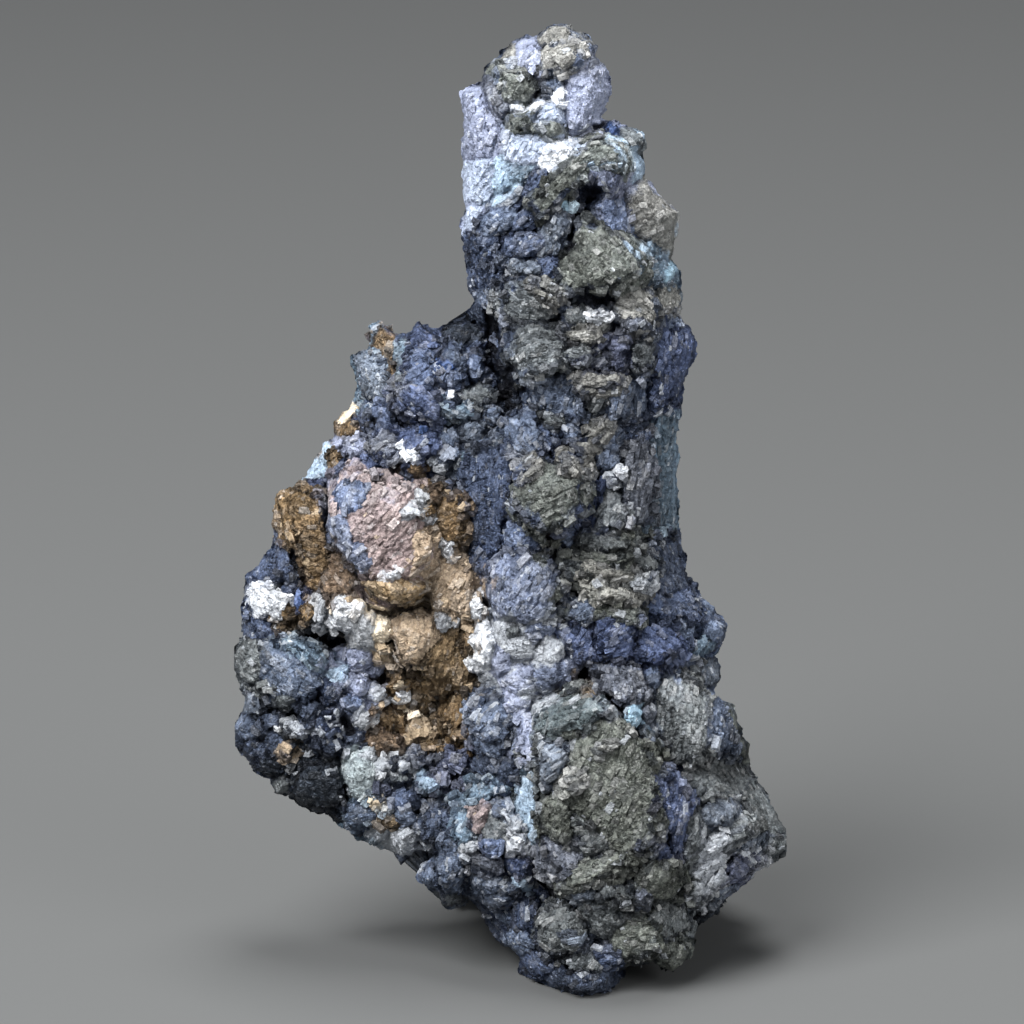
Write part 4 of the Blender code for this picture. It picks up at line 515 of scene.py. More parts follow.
# Crystals with outlines of their own: the lobe
LOBE_CRYSTALS = (
    Cut("block", "iris", 1.7, ((-8.4, 56.4), (-7.8, 57.1), (-6.6, 56.2), (-6.0, 55.0), (-7.6, 54.6),
        (-8.8, 55.2))),
    Lump("block", "teal", -8.9, 54.4, 1.1, 3.4, 12, 1.4),
    Cut("block", "indigo", 1.9, ((-8.6, 54.8), (-6.2, 55.2), (-6.0, 53.0), (-6.6, 51.2), (-8.2, 51.2),
        (-8.8, 53.0))),
    Cut("dome", "deep", 1.6, ((-5.9, 56.0), (-5.0, 56.9), (-3.6, 57.1), (-2.4, 56.4), (-2.0, 55.0),
        (-3.6, 54.8), (-5.0, 55.2)), 60),
    Cut("shard", "slate", 2.8, ((-6.0, 54.2), (-5.2, 55.3), (-4.2, 54.8), (-3.8, 53.2), (-5.0, 52.8))),
    Lump("block", "blue", -5.2, 53.4, 1.4, 1.3, 0, 2.3),
    Lump("dome", "periwinkle", -3.1, 53.4, 2.0, 1.9, 0, 1.8),
    Lump("block", "indigo", -5.2, 52.0, 2.5, 1.9, 0, 1.8),
    Cut("block", "grey", 1.8, ((-4.2, 51.6), (-2.2, 51.9), (-1.4, 50.8), (-2.0, 50.0), (-4.2, 50.4))),
    Lump("slab", "white", -4.8, 50.9, 1.3, 0.5, -30, 2.2),
    Cut("block", "teal", 2.0, ((-6.2, 50.3), (-3.8, 50.2), (-3.0, 49.2), (-4.4, 48.6), (-5.8, 48.9))),
    Cut("dome", "iris", 2.7, ((-9.8, 51.4), (-8.2, 52.0), (-6.2, 50.6), (-6.0, 48.7), (-8.6, 49.2),
        (-9.6, 50.0)), -50),
    Cut("block", "iris", 1.6, ((-9.6, 48.0), (-7.4, 48.6), (-6.0, 48.2), (-6.2, 46.6), (-8.8, 46.2))),
    Lump("block", "blue", -7.3, 47.9, 1.1, 0.8, -20, 1.9),
    Lump("dome", "steel", -3.3, 47.8, 1.9, 1.9, 0, 1.7),
    Lump("dome", "slate", -1.6, 49.4, 1.5, 1.5, 0, 1.3),
    Lump("dome", "slate", -5.2, 47.4, 1.7, 1.5, 0, 1.5),
    Lump("dome", "slate", -5.0, 46.0, 1.7, 1.3, 0, 1.5),
    Lump("dome", "slate", -2.1, 46.6, 1.9, 1.5, 0, 1.5),
    Lump("dome", "teal", -3.6, 45.8, 1.5, 1.3, 0, 1.6),
    Lump("block", "mauve", -10.6, 46.9, 2.3, 2.4, 0, 1.3),
    Lump("block", "iris", -12.5, 45.3, 1.9, 1.9, 0, 1.2),
    Lump("dome", "lavender", -13.0, 46.4, 1.5, 1.1, 0, 1.2),
    Lump("block", "indigo", -11.0, 49.0, 2.2, 2.4, 0, 1.0),
    Lump("slab", "white", -8.6, 45.8, 1.7, 1.1, -10, 1.9),
    Lump("block", "gold", -8.2, 44.7, 1.5, 1.1, 0, 1.4),
    Lump("block", "bronze", -10.5, 55.5, 2.4, 2.4, -10, 0.4),
    Lump("dome", "silver", -11.1, 56.5, 1.3, 0.8, 20, 0.6),
    Cut("slab", "steel", 0.3, ((-13.4, 54.4), (-12.2, 54.7), (-10.6, 53.6), (-10.4, 51.4), (-11.6, 49.9),
        (-12.7, 51.4)), -30),
    Lump("dome", "teal", -11.6, 54.4, 1.0, 1.0, 0, 0.5),
    Lump("slab", "bronze", -10.1, 52.6, 0.6, 4.0, -4, 0.6),
    Lump("slab", "cream", -13.9, 49.2, 1.9, 0.9, 50, 0.5),
    Lump("dome", "bronze", -13.9, 48.1, 1.8, 1.4, 0, 0.4),
    Lump("dome", "lavender", -14.7, 47.0, 1.0, 1.0, 0, 0.8),
    Lump("dome", "sky", -15.6, 46.4, 1.0, 1.0, 0, 0.6),
    Lump("block", "bronze", -15.0, 45.2, 1.0, 2.4, 0, 0.7),
    Cut("slab", "sky", 1.0, ((-17.9, 43.7), (-16.6, 45.0), (-15.9, 45.8), (-15.6, 44.2))),
    Lump("block", "iris", -17.0, 43.1, 2.3, 1.5, 0, 0.9),
    Cut("block", "bronze", 1.4, ((-19.8, 42.4), (-18.4, 43.1), (-16.2, 42.2), (-15.6, 39.6), (-15.4, 36.2),
        (-16.4, 34.0), (-17.4, 35.0), (-18.4, 38.6)), -10),
    Cut("slab", "gold", 1.8, ((-19.9, 42.3), (-19.0, 42.4), (-18.0, 39.0), (-17.4, 36.6), (-18.1, 36.8),
        (-18.9, 39.2)), 110),
    Cut("block", "rust", 1.6, ((-15.6, 38.4), (-14.6, 38.0), (-13.0, 35.4), (-13.4, 34.2), (-15.8, 34.2),
        (-16.0, 36.0)), -20),
    Cut("dome", "pink", 4.0, ((-15.5, 41.6), (-14.5, 44.2), (-12.8, 44.8), (-10.4, 43.6), (-8.2, 42.8),
        (-7.0, 40.8), (-6.9, 37.6), (-7.6, 35.6), (-10.2, 34.8), (-12.6, 35.8), (-14.2, 38.4)), 50),
    Lump("dome", "periwinkle", -13.1, 42.2, 3.6, 3.6, 20, 4.1),
    Lump("dome", "haze", -14.0, 39.4, 2.2, 3.4, 16, 3.8),
    Lump("dome", "haze", -12.6, 37.4, 2.2, 3.0, 24, 3.9),
    Lump("slab", "silver", -8.5, 41.0, 1.6, 1.1, 20, 4.3),
    Lump("slab", "white", -9.9, 35.8, 1.6, 0.8, 10, 4.1),
    Lump("block", "taupe", -7.6, 38.2, 2.0, 4.2, -10, 3.9),
    Cut("dome", "sepia", 3.7, ((-12.2, 35.2), (-9.6, 35.6), (-6.9, 35.0), (-8.4, 33.5), (-9.8, 33.1),
        (-11.4, 33.8))),
    Lump("block", "bronze", -5.4, 40.4, 2.7, 4.2, 0, 1.9),
    Lump("dome", "rust", -6.4, 42.4, 1.1, 1.1, 0, 2.4),
    Cut("slab", "indigo", 1.6, ((-3.9, 46.2), (-0.6, 46.6), (0.0, 44.4), (-0.6, 41.0), (-1.2, 37.6),
        (-3.4, 38.0), (-4.0, 42.0)), 86),
    Cut("block", "taupe", 1.7, ((-7.2, 38.6), (-4.4, 38.4), (-3.6, 35.6), (-3.6, 32.4), (-6.0, 33.2),
        (-7.4, 35.4)), 55),
    Lump("slab", "white", -5.3, 37.7, 0.5, 1.9, 32, 2.1),
    Lump("block", "indigo", -2.6, 37.0, 1.5, 2.6, 0, 1.1),
    Cut("slab", "white", 1.9, ((-3.9, 32.4), (-3.1, 33.7), (-2.5, 33.4), (-2.6, 32.2), (-3.4, 31.9))),
    Cut("slab", "white", 1.8, ((-2.9, 32.0), (-2.3, 31.8), (-1.9, 30.2), (-2.3, 29.4), (-3.0, 30.4))),
    Cut("slab", "white", 1.8, ((-3.0, 30.0), (-1.9, 29.6), (-2.0, 28.7), (-3.2, 28.4))),
    Cut("block", "taupe", 2.9, ((-9.8, 30.6), (-9.0, 32.2), (-6.6, 32.0), (-5.7, 30.4), (-7.0, 28.6),
        (-8.4, 28.1), (-9.4, 29.0))),
    Lump("slab", "silver", -5.9, 31.9, 0.5, 1.2, -10, 2.4),
    Cut("block", "brown", 1.9, ((-7.4, 30.0), (-5.6, 31.9), (-4.2, 31.8), (-3.6, 28.6), (-3.8, 26.0),
        (-6.2, 25.6), (-7.4, 27.8)), 75),
    Lump("block", "bronze", -3.6, 30.4, 1.1, 2.8, 0, 1.5),
    Lump("block", "bronze", -5.0, 24.6, 2.3, 3.4, 15, 1.5, 70),
    Lump("block", "brown", -7.4, 25.6, 1.9, 2.9, 0, 1.4, 75),
    Lump("block", "bronze", -9.6, 26.4, 2.3, 1.9, 0, 1.3),
    Lump("block", "cream", -9.6, 26.5, 1.1, 0.9, 0, 1.5),
    Lump("block", "silver", -11.2, 25.6, 1.3, 1.3, 0, 1.4),
    Lump("slab", "white", -9.3, 25.5, 0.6, 0.5, 0, 1.6),
    Lump("slab", "cream", -6.7, 26.5, 0.6, 0.9, 0, 1.8),
    Lump("block", "bronze", -10.0, 23.6, 2.5, 1.7, 0, 1.3),
    Cut("slab", "tan", 1.7, ((-8.5, 22.6), (-7.8, 23.0), (-6.7, 22.4), (-7.2, 21.8), (-8.2, 21.8))),
    Lump("block", "cream", -8.1, 23.8, 1.2, 0.8, -30, 1.6),
    Lump("block", "bronze", -4.6, 22.6, 1.7, 1.7, 0, 1.6),
    Lump("block", "gold", -6.6, 21.3, 2.2, 1.1, 0, 1.4),
    Lump("block", "rust", -10.8, 21.7, 2.8, 1.7, 0, 1.2),
    Cut("block", "silver", 2.6, ((-16.6, 32.2), (-16.1, 33.9), (-15.4, 33.6), (-15.6, 32.2),
        (-16.2, 31.2))),
    Cut("block", "white", 2.8, ((-15.4, 32.4), (-14.6, 33.6), (-13.4, 32.6), (-13.6, 31.2), (-14.6, 30.8))),
    Cut("block", "silver", 2.5, ((-13.4, 31.6), (-12.2, 32.2), (-11.4, 31.4), (-11.6, 29.6),
        (-13.0, 29.8))),
    Lump("block", "cream", -10.9, 30.9, 1.6, 1.5, 20, 2.6),
    Lump("block", "tan", -10.6, 29.7, 1.5, 1.1, -20, 2.3),
    Lump("dome", "gold", -17.1, 32.6, 1.1, 1.5, 10, 2.4),
    Lump("block", "gold", -19.0, 32.6, 1.5, 1.3, 0, 1.4),
    Cut("block", "white", 1.4, ((-22.2, 34.4), (-20.4, 34.9), (-19.3, 33.6), (-19.6, 32.4), (-21.6, 32.1),
        (-22.2, 33.2))),
    Lump("block", "indigo", -21.0, 36.2, 2.6, 2.3, 20, 0.8),
    Lump("block", "indigo", -19.2, 36.8, 1.7, 3.2, -10, 0.9),
    Lump("block", "navy", -20.0, 39.2, 0.9, 1.8, 0, 0.2),
    Lump("block", "indigo", -18.8, 34.6, 1.6, 1.4, 0, 1.1),
    Lump("block", "blue", -18.0, 33.5, 1.1, 1.5, 20, 1.6),
    Lump("block", "indigo", -21.6, 31.1, 3.0, 1.7, 0, 0.8),
    Cut("dome", "grey", 1.3, ((-23.6, 28.6), (-22.8, 30.1), (-21.6, 30.4), (-20.6, 29.0), (-20.8, 27.2),
        (-22.0, 26.2), (-23.2, 27.0))),
    Cut("dome", "slate", 1.9, ((-21.2, 30.2), (-18.2, 29.4), (-16.2, 28.0), (-15.8, 26.4), (-17.4, 25.0),
        (-20.4, 25.0), (-21.4, 27.0)), -30),
    Lump("slab", "teal", -17.1, 29.4, 2.7, 0.7, -38, 2.8),
    Lump("dome", "grey", -20.4, 26.2, 2.1, 1.5, 20, 1.8),
    Lump("dome", "grey", -19.2, 25.3, 1.7, 1.3, 0, 1.7),
    Lump("dome", "steel", -22.3, 24.7, 1.9, 1.7, 0, 0.8),
    Lump("dome", "lavender", -13.0, 28.8, 2.1, 1.7, 0, 1.8),
    Lump("block", "sky", -14.7, 27.3, 1.8, 1.8, 0, 1.7),
    Lump("block", "lavender", -12.9, 26.5, 1.8, 1.5, 0, 1.6),
    Lump("block", "indigo", -15.5, 25.9, 1.7, 2.1, 0, 1.5),
    Lump("dome", "periwinkle", -13.3, 24.9, 1.8, 1.3, 0, 1.5),
    Lump("block", "silver", -12.6, 23.7, 1.3, 1.5, 20, 1.7),
    Lump("block", "silver", -15.6, 23.7, 1.3, 0.9, 0, 1.5),
    Lump("block", "silver", -18.4, 22.8, 1.3, 0.6, -30, 1.5),
    Lump("slab", "silver", -15.0, 22.9, 1.7, 0.4, 10, 1.7),
    Lump("block", "navy", -20.6, 23.4, 1.8, 1.6, 0, 1.0),
    Lump("block", "navy", -17.0, 24.2, 1.7, 1.4, 0, 1.2),
    Lump("dome", "slate", -22.8, 22.7, 1.7, 2.1, 0, 0.9),
    Lump("dome", "navy", -21.8, 20.8, 1.9, 1.7, 0, 1.0),
    Lump("dome", "navy", -20.2, 21.6, 1.7, 1.7, 0, 1.2),
    Lump("dome", "taupe", -19.2, 20.9, 1.7, 1.5, 0, 1.3),
    Lump("dome", "deep", -20.6, 19.3, 1.8, 1.4, 0, 0.9),
    Cut("dome", "deep", 1.7, ((-18.8, 17.4), (-17.4, 19.8), (-15.2, 19.8), (-14.1, 17.6), (-15.6, 16.0),
        (-18.0, 16.2))),
    Lump("shard", "grey", -19.6, 17.7, 1.7, 1.5, -10, 0.9),
    Lump("block", "navy", -15.2, 21.4, 1.9, 1.6, 0, 1.3),
    Lump("block", "navy", -13.2, 22.0, 1.6, 1.5, 0, 1.4),
    Cut("block", "mint", 2.1, ((-14.0, 18.6), (-13.2, 20.2), (-12.2, 19.8), (-11.6, 18.0), (-12.6, 16.8),
        (-13.6, 17.2))),
    Lump("block", "silver", -10.8, 19.4, 1.5, 1.0, 0, 1.9),
    Lump("block", "silver", -9.2, 19.6, 1.5, 1.1, 0, 1.9),
    Lump("block", "mauve", -7.5, 20.0, 1.9, 1.1, 0, 1.9),
    Lump("block", "silver", -12.2, 20.5, 1.3, 1.1, 0, 1.8),
    Lump("block", "grey", -9.2, 18.4, 1.8, 1.0, 0, 1.7),
    Lump("block", "violet", -5.9, 18.3, 1.8, 1.5, 0, 1.6),
    Lump("block", "violet", -3.7, 18.2, 1.7, 1.4, 0, 1.6),
    Lump("block", "sky", -6.9, 18.0, 1.5, 1.3, 0, 2.1),
    Lump("block", "periwinkle", -9.2, 16.9, 1.9, 1.5, 0, 1.7),
    Lump("dome", "slate", -8.9, 15.3, 1.9, 1.5, 0, 1.8),
    Lump("block", "violet", -10.9, 17.7, 1.5, 1.1, 0, 1.7),
    Lump("block", "slate", -12.8, 15.4, 2.8, 2.1, -20, 1.2),
    Lump("block", "cream", -11.5, 16.5, 1.2, 1.0, 0, 1.6),
    Lump("block", "silver", -9.0, 13.2, 1.7, 2.1, 0, 1.8),
    Lump("block", "silver", -11.0, 13.6, 1.5, 1.3, 0, 1.4),
    Lump("block", "brown", -10.3, 14.7, 1.3, 1.2, 0, 1.5),
    Lump("shard", "navy", -9.4, 11.9, 1.5, 1.7, 0, 0.9),
)

# Pits, slits and dark gaps of the front: sunk into the relief and painted dark as painted shade, some of them
# painted shadows under ledges
HOLLOWS = (
    Hollow("indigo", 6.6, 67.4, 2.6, 2.0, 10, 1.2),
    Hollow("black", -1.3, 61.2, 0.9, 0.6, 0, 2.0),
    Hollow("black", 5.0, 64.0, 1.0, 3.4, -22, 2.0),
    Hollow("deep", 5.8, 65.7, 1.4, 1.1, 0, 1.6),
    Hollow("black", 2.2, 75.8, 0.5, 0.9, -30, 1.2),
    Hollow("black", 7.3, 73.0, 0.6, 1.6, -40, 1.2),
    Hollow("navy", 7.0, 58.8, 3.4, 1.9, 0, 1.0),
    Hollow("black", -1.5, 54.6, 1.9, 6.4, 10, 3.0),
    Hollow("black", -0.4, 51.3, 2.2, 4.6, 6, 3.4),
    Hollow("black", 3.7, 47.3, 0.6, 0.5, 0, 1.4),
    Hollow("black", 3.1, 45.8, 0.9, 0.4, -30, 1.4),
    Hollow("rust", 3.4, 38.4, 0.9, 3.1, 4, 2.4),
    Hollow("black", 4.3, 33.5, 0.6, 0.5, 0, 1.5),
    Hollow("rust", 6.1, 27.3, 1.4, 2.6, 8, 2.4),
    Hollow("black", 8.6, 24.8, 3.2, 0.9, -38, 2.2),
    Hollow("black", 10.4, 22.6, 2.2, 0.7, -25, 1.4),
    Hollow("black", 14.1, 19.3, 1.1, 0.7, -45, 2.0),
    Hollow("black", 13.3, 13.3, 0.35, 2.2, 14, 1.6),
    Hollow("black", 3.1, 9.4, 2.8, 1.1, -38, 2.6),
    Hollow("black", 1.9, 11.2, 1.2, 1.7, 0, 2.8),
    Hollow("black", 7.9, 8.5, 0.9, 0.4, 0, 1.2),
    Hollow("black", 18.7, 11.6, 0.7, 0.5, 20, 1.2),
    Hollow("black", 18.4, 10.5, 0.6, 0.4, 0, 1.2),
    Hollow("black", -9.2, 48.8, 1.2, 0.9, -10, 2.4),
    Hollow("black", -7.3, 48.5, 3.0, 0.35, -12, 1.6),
    Hollow("black", -11.8, 48.8, 0.7, 0.9, 0, 1.2),
    Hollow("black", -11.2, 43.5, 1.3, 0.8, -20, 2.2),
    Hollow("rust", -15.7, 41.4, 0.9, 4.0, 4, 2.0),
    # Painted shadow: the dark band cast under the sepia band above it
    Hollow("brown", -9.4, 32.9, 5.2, 0.7, 5, 1.4),
    Hollow("black", -2.1, 33.3, 0.9, 1.3, 20, 1.6),
    # A dark cave: its deep shade painted near black
    Hollow("black", -16.0, 30.4, 4.4, 1.5, -8, 2.8),
    Hollow("black", -18.4, 37.2, 0.7, 2.4, 8, 1.6),
    Hollow("black", -10.0, 29.3, 0.8, 2.2, 10, 2.2),
    Hollow("black", -9.0, 27.9, 2.6, 0.5, -8, 1.2),
    Hollow("black", -6.2, 24.6, 0.4, 2.7, 4, 1.4),
    Hollow("brown", -11.0, 27.0, 1.8, 1.1, 20, 1.4),
    Hollow("black", -13.8, 23.0, 0.9, 1.6, 20, 1.8),
    Hollow("black", -18.6, 23.9, 2.4, 0.6, 8, 1.6),
    Hollow("black", -20.6, 24.4, 1.4, 0.6, -20, 1.4),
    Hollow("black", -6.8, 16.8, 1.8, 1.2, -10, 2.4),
    Hollow("black", -13.8, 16.9, 0.8, 1.7, 25, 2.2),
    Hollow("black", -3.3, 18.9, 0.9, 0.5, 20, 1.6),
    Hollow("black", 1.4, 20.2, 1.6, 0.4, -30, 1.6),
)

CRYSTALS = TOP_CRYSTALS + MIDDLE_CRYSTALS + FOOT_CRYSTALS + LOBE_CRYSTALS

# Tarnish between the listed crystals
ZONES = (
    Zone("slate", 2.0, 78.0, 3.0),
    Zone("lavender", -3.0, 73.0, 3.0),
    Zone("pale", 2.0, 73.0, 3.0),
    Zone("lavender", 6.5, 75.0, 2.5),
    Zone("sky", -1.4, 68.2, 2.6),
    Zone("lavender", -3.2, 66.6, 2.4),
    Zone("sky", 9.4, 69.8, 2.2),
    Zone("lavender", 10.0, 67.6, 2.2),
    Zone("indigo", 0.0, 64.0, 4.5),
    Zone("navy", 5.0, 58.8, 2.5),
    Zone("sky", 12.5, 63.0, 2.0),
    Zone("teal", 12.5, 60.6, 2.2),
    Zone("slate", 11.5, 57.0, 3.0),
    Zone("violet", 8.0, 54.0, 2.2),
    Zone("iris", 13.6, 54.0, 3.0),
    Zone("slate", 2.0, 50.5, 3.0),
    Zone("indigo", 5.0, 47.6, 2.5),
    Zone("indigo", 10.0, 50.0, 2.6),
    Zone("mauve", 10.6, 44.0, 2.6),
    Zone("teal", 13.2, 44.0, 3.0),
    Zone("indigo", 0.0, 41.6, 2.6),
    Zone("iris", 7.0, 41.0, 2.2),
    Zone("olive", 8.0, 35.0, 3.6),
    Zone("navy", 13.6, 36.0, 2.4),
    Zone("indigo", 13.4, 33.0, 2.2),
    Zone("iris", 9.0, 30.2, 3.6),
    Zone("silver", 1.6, 28.4, 3.2),
    Zone("brown", 5.6, 26.6, 1.6),
    Zone("mauve", 8.8, 26.4, 2.2),
    Zone("slate", 12.4, 24.4, 2.2),
    Zone("grey", 15.0, 23.6, 2.4),
    Zone("slate", 17.8, 23.0, 2.2),
    Zone("grey", 17.2, 18.8, 2.4),
    Zone("moss", 22.0, 15.0, 2.4),
    # Painted highlight: the lower right slab's bright striations, painted silver
    Zone("silver", 18.0, 13.4, 3.2),
    Zone("violet", 19.6, 10.4, 2.2),
    Zone("deep", 16.8, 7.2, 1.6),
    Zone("olive", 13.0, 9.0, 2.6),
    Zone("violet", 13.2, 14.4, 2.6),
    Zone("olive", 7.0, 18.0, 5.0),
    Zone("mauve", 5.4, 12.2, 2.4),
    Zone("grey", 8.0, 9.0, 2.4),
    Zone("grey", 4.4, 6.0, 2.2),
    Zone("indigo", 0.0, 5.6, 2.6),
    Zone("navy", 5.4, 1.6, 3.6),
    Zone("grey", 10.4, 4.4, 2.4),
    Zone("olive", 13.8, 4.0, 2.4),
    Zone("slate", -3.0, 16.4, 2.4),
    Zone("violet", -1.2, 12.0, 2.2),
    Zone("slate", -3.0, 9.2, 3.0),
    Zone("deep", -6.4, 14.8, 2.2),
    Zone("silver", -9.2, 13.6, 2.0),
    Zone("teal", -12.2, 14.8, 2.4),
    Zone("deep", -16.4, 17.6, 3.0),
    Zone("mint", -13.0, 18.8, 1.8),
    Zone("navy", -9.2, 18.4, 2.4),
    Zone("violet", -5.2, 18.8, 2.4),
    Zone("navy", -1.8, 19.4, 1.8),
    Zone("slate", -2.0, 22.8, 2.0),
    Zone("brown", -7.0, 25.4, 3.2),
    Zone("rust", -10.2, 23.0, 2.4),
    Zone("bronze", -5.0, 22.4, 2.0),
    Zone("lavender", -13.6, 25.2, 2.4),
    Zone("indigo", -16.4, 24.6, 2.6),
    Zone("deep", -20.0, 23.0, 2.4),
    Zone("navy", -21.6, 20.6, 2.4),
    Zone("grey", -22.2, 28.0, 2.2),
    Zone("teal", -19.2, 27.4, 2.6),
    Zone("lavender", -14.0, 28.4, 2.4),
    # Painted shade round the dark cave
    Zone("deep", -15.8, 30.4, 2.0),
    Zone("indigo", -21.0, 36.0, 3.0),
    Zone("brown", -18.4, 32.8, 2.0),
    Zone("cream", -12.6, 31.0, 2.4),
    Zone("taupe", -8.2, 30.4, 2.2),
    Zone("brown", -5.4, 29.4, 2.4),
    Zone("taupe", -5.8, 35.4, 2.2),
    Zone("pink", -9.8, 37.6, 3.6),
    Zone("lavender", -13.0, 40.4, 3.0),
    Zone("rust", -15.2, 36.6, 2.4),
    Zone("bronze", -18.2, 40.0, 2.4),
    Zone("bronze", -5.6, 40.4, 2.2),
    Zone("indigo", -2.4, 42.0, 2.8),
    Zone("steel", -3.4, 46.6, 3.2),
    Zone("iris", -8.0, 47.4, 2.6),
    Zone("iris", -12.0, 45.8, 2.6),
    Zone("bronze", -14.8, 46.8, 2.0),
    Zone("mauve", -8.4, 50.6, 2.6),
    Zone("teal", -11.6, 52.6, 2.4),
    Zone("slate", -4.6, 50.6, 2.4),
    Zone("indigo", -6.2, 54.6, 2.8),
    Zone("periwinkle", -3.0, 53.4, 2.0),
)

# Screen colours of the tarnish
PALETTE = {
    # Black: painted shade, used only in the hollows
    "black": "15161b",
    "deep": "373d46",
    "navy": "535d71",
    "indigo": "5c6985",
    "slate": "717e95",
    "steel": "788291",
    "teal": "788d9f",
    "cyan": "a0c0d4",
    "sky": "a9bfd4",
    "blue": "536ea2",
    "periwinkle": "7382a1",
    "lavender": "9ca4bd",
    "haze": "7f8aa4",
    "iris": "5d6a8c",
    "violet": "6e748b",
    "mauve": "757a86",
    "pale": "aebad0",
    "silver": "b2b7be",
    "white": "e2e6ec",
    "mint": "a8b4b8",
    "grey": "757a7c",
    "ash": "9c9d9a",
    "beige": "96958f",
    "moss": "677377",
    "olive": "737770",
    "taupe": "baa58c",
    "pink": "ac9a98",
    "tan": "c8b294",
    "cream": "f0e0c6",
    "gold": "957c5b",
    "bronze": "887153",
    "sepia": "a58c66",
    "brown": "917b5d",
    "rust": "8a7561",
}


def from_srgb(code):
    """The linear colour of a six-digit screen colour."""
    parts = [int(code[place : place + 2], 16) / 255 for place in (0, 2, 4)]
    return tuple(part / 12.92 if part <= 0.04045 else ((part + 0.055) / 1.055) ** 2.4 for part in parts)


def to_world(points):
    """Millimetres of the front view as metres of the row frame."""
    return (points - (ACROSS_MIDDLE, DEPTH_MIDDLE, 0.0)) * MM


def from_world(points):
    """Metres of the row frame as millimetres of the front view."""
    return points / MM + (ACROSS_MIDDLE, DEPTH_MIDDLE, 0.0)


def seen_at(points):
    """Across and up in the picture, and how far away along the line of sight, of points in space."""
    beyond = points - (0.0, FOOT_FRONT_DEPTH, 0.0)
    return np.stack([points[:, 0], beyond @ UPRIGHT, beyond @ SIGHT], axis=-1)


def from_seen(flat, away):
    """Points in space from their places across and up and their depths along the line of sight."""
    return flat[:, :1] * RIGHT + flat[:, 1:2] * UPRIGHT + away[:, None] * SIGHT + (0.0, FOOT_FRONT_DEPTH, 0.0)


def unit(vectors):
    """Vectors made one long."""
    return vectors / np.maximum(np.linalg.norm(vectors, axis=-1, keepdims=True), 1e-9)


def smooth_step(low, high, value):
    """0 up to low, 1 from high on, and an S-shaped rise between."""
    share = np.clip((value - low) / (high - low), 0.0, 1.0)
    return share * share * (3.0 - 2.0 * share)


def lattice_random(cells, salt):
    """A repeatable random number from 0 to 1 for each cell: its three whole numbers, mixed and folded."""
    mixed = cells[..., 0] * 73856093 ^ cells[..., 1] * 19349663 ^ cells[..., 2] * 83492791 ^ salt * 2654435761
    mixed = (mixed ^ (mixed >> 15)) * 2246822519 & 0xFFFFFFFF
    mixed = (mixed ^ (mixed >> 13)) * 3266489917 & 0xFFFFFFFF
    return ((mixed ^ (mixed >> 16)) & 0xFFFFFFFF) / 4294967296


def lattice_vector(cells, salt):
    """Three repeatable random numbers from 0 to 1 for each cell."""
    return np.stack([lattice_random(cells, salt + axis) for axis in range(3)], axis=-1)


def row_random(index, salt):
    """A repeatable random number from 0 to 1 for one row of a table."""
    return float(lattice_random(np.array([[index, salt, 7]]), 11)[0])


def side_randoms(index, count, salt):
    """A random number for each of a row's sides."""
    return np.array([row_random(index * 16 + side, salt) for side in range(count)])


def point_random(count, salt):
    """A repeatable random number from 0 to 1 for each of so many points."""
    number = np.arange(count)
    return lattice_random(np.stack([number, number // 7, number * 0 + salt], axis=-1), salt)


def waves(points, size, salt):
    """Smooth noise from -1 to 1: random numbers on a lattice, blended with S-curves along each axis."""
    place = points / size
    base = np.floor(place).astype(np.int64)
    share = place - base
    share = share * share * (3.0 - 2.0 * share)
    total = np.zeros(len(points))
    for corner in CORNER_CELLS:
        weight = np.prod(np.where(corner, share, 1.0 - share), axis=-1)
        total += weight * lattice_random(base + corner, salt)
    return total * 2.0 - 1.0


def rough_waves(points, size, salt, layers=3):
    """Smooth noise in layers, each half as large and half as high as the one before."""
    return sum(waves(points, size / 2**layer, salt + 10 * layer) / 2**layer for layer in range(layers)) / 1.6


def wave_pair(points, size, salts, layers=3):
    """Two such noises side by side, which bend places across and up."""
    return np.stack([rough_waves(points, size, salt, layers) for salt in salts], axis=-1)


def creases(points, size, salt, layers=3):
    """Crumpled relief from 0 to 1: layers of noise folded at its middle, so that it has sharp crests."""
    total = 0.0
    for layer in range(layers):
        total = total + (1.0 - abs(waves(points, size / 2**layer, salt + 10 * layer))) / 2**layer
    return total / (2.0 - 0.5 ** (layers - 1))


def crystals_of(points, size, salt, squat=1.0):
    """Druse relief: the highest of many small turned cubes.

    Each lattice cell holds one cube at a random place with three random square axes. A cube's height over
    a point is its lift less the point's longest distance from it along those axes, and the highest counts.
    Gives that height, the cube's random number, and by how much it stands above the next one.
    """
    place = points / size
    base = np.floor(place).astype(np.int64)
    highest = np.full(len(place), -np.inf)
    second = highest.copy()
    number = np.zeros(len(place))
    for step in NEAR_CELLS:
        cell = base + step
        away = place - cell - lattice_vector(cell, salt)
        first = lattice_vector(cell, salt + 3) * 2.0 - 1.0
        first /= np.linalg.norm(first, axis=-1, keepdims=True)
        other = lattice_vector(cell, salt + 6) * 2.0 - 1.0
        other -= first * (other * first).sum(axis=-1, keepdims=True)
        other /= np.linalg.norm(other, axis=-1, keepdims=True)
        third = np.cross(first, other)
        reach = np.maximum(abs((away * first).sum(axis=-1)), abs((away * other).sum(axis=-1)) * squat)
        reach = np.maximum(reach, abs((away * third).sum(axis=-1)))
        height = 0.5 * lattice_random(cell, salt + 9) - reach
        above = height > highest
        second = np.where(above, highest, np.maximum(second, height))
        highest = np.where(above, height, highest)
        number = np.where(above, lattice_random(cell, salt + 12), number)
    return highest * size, number, (highest - second) * size


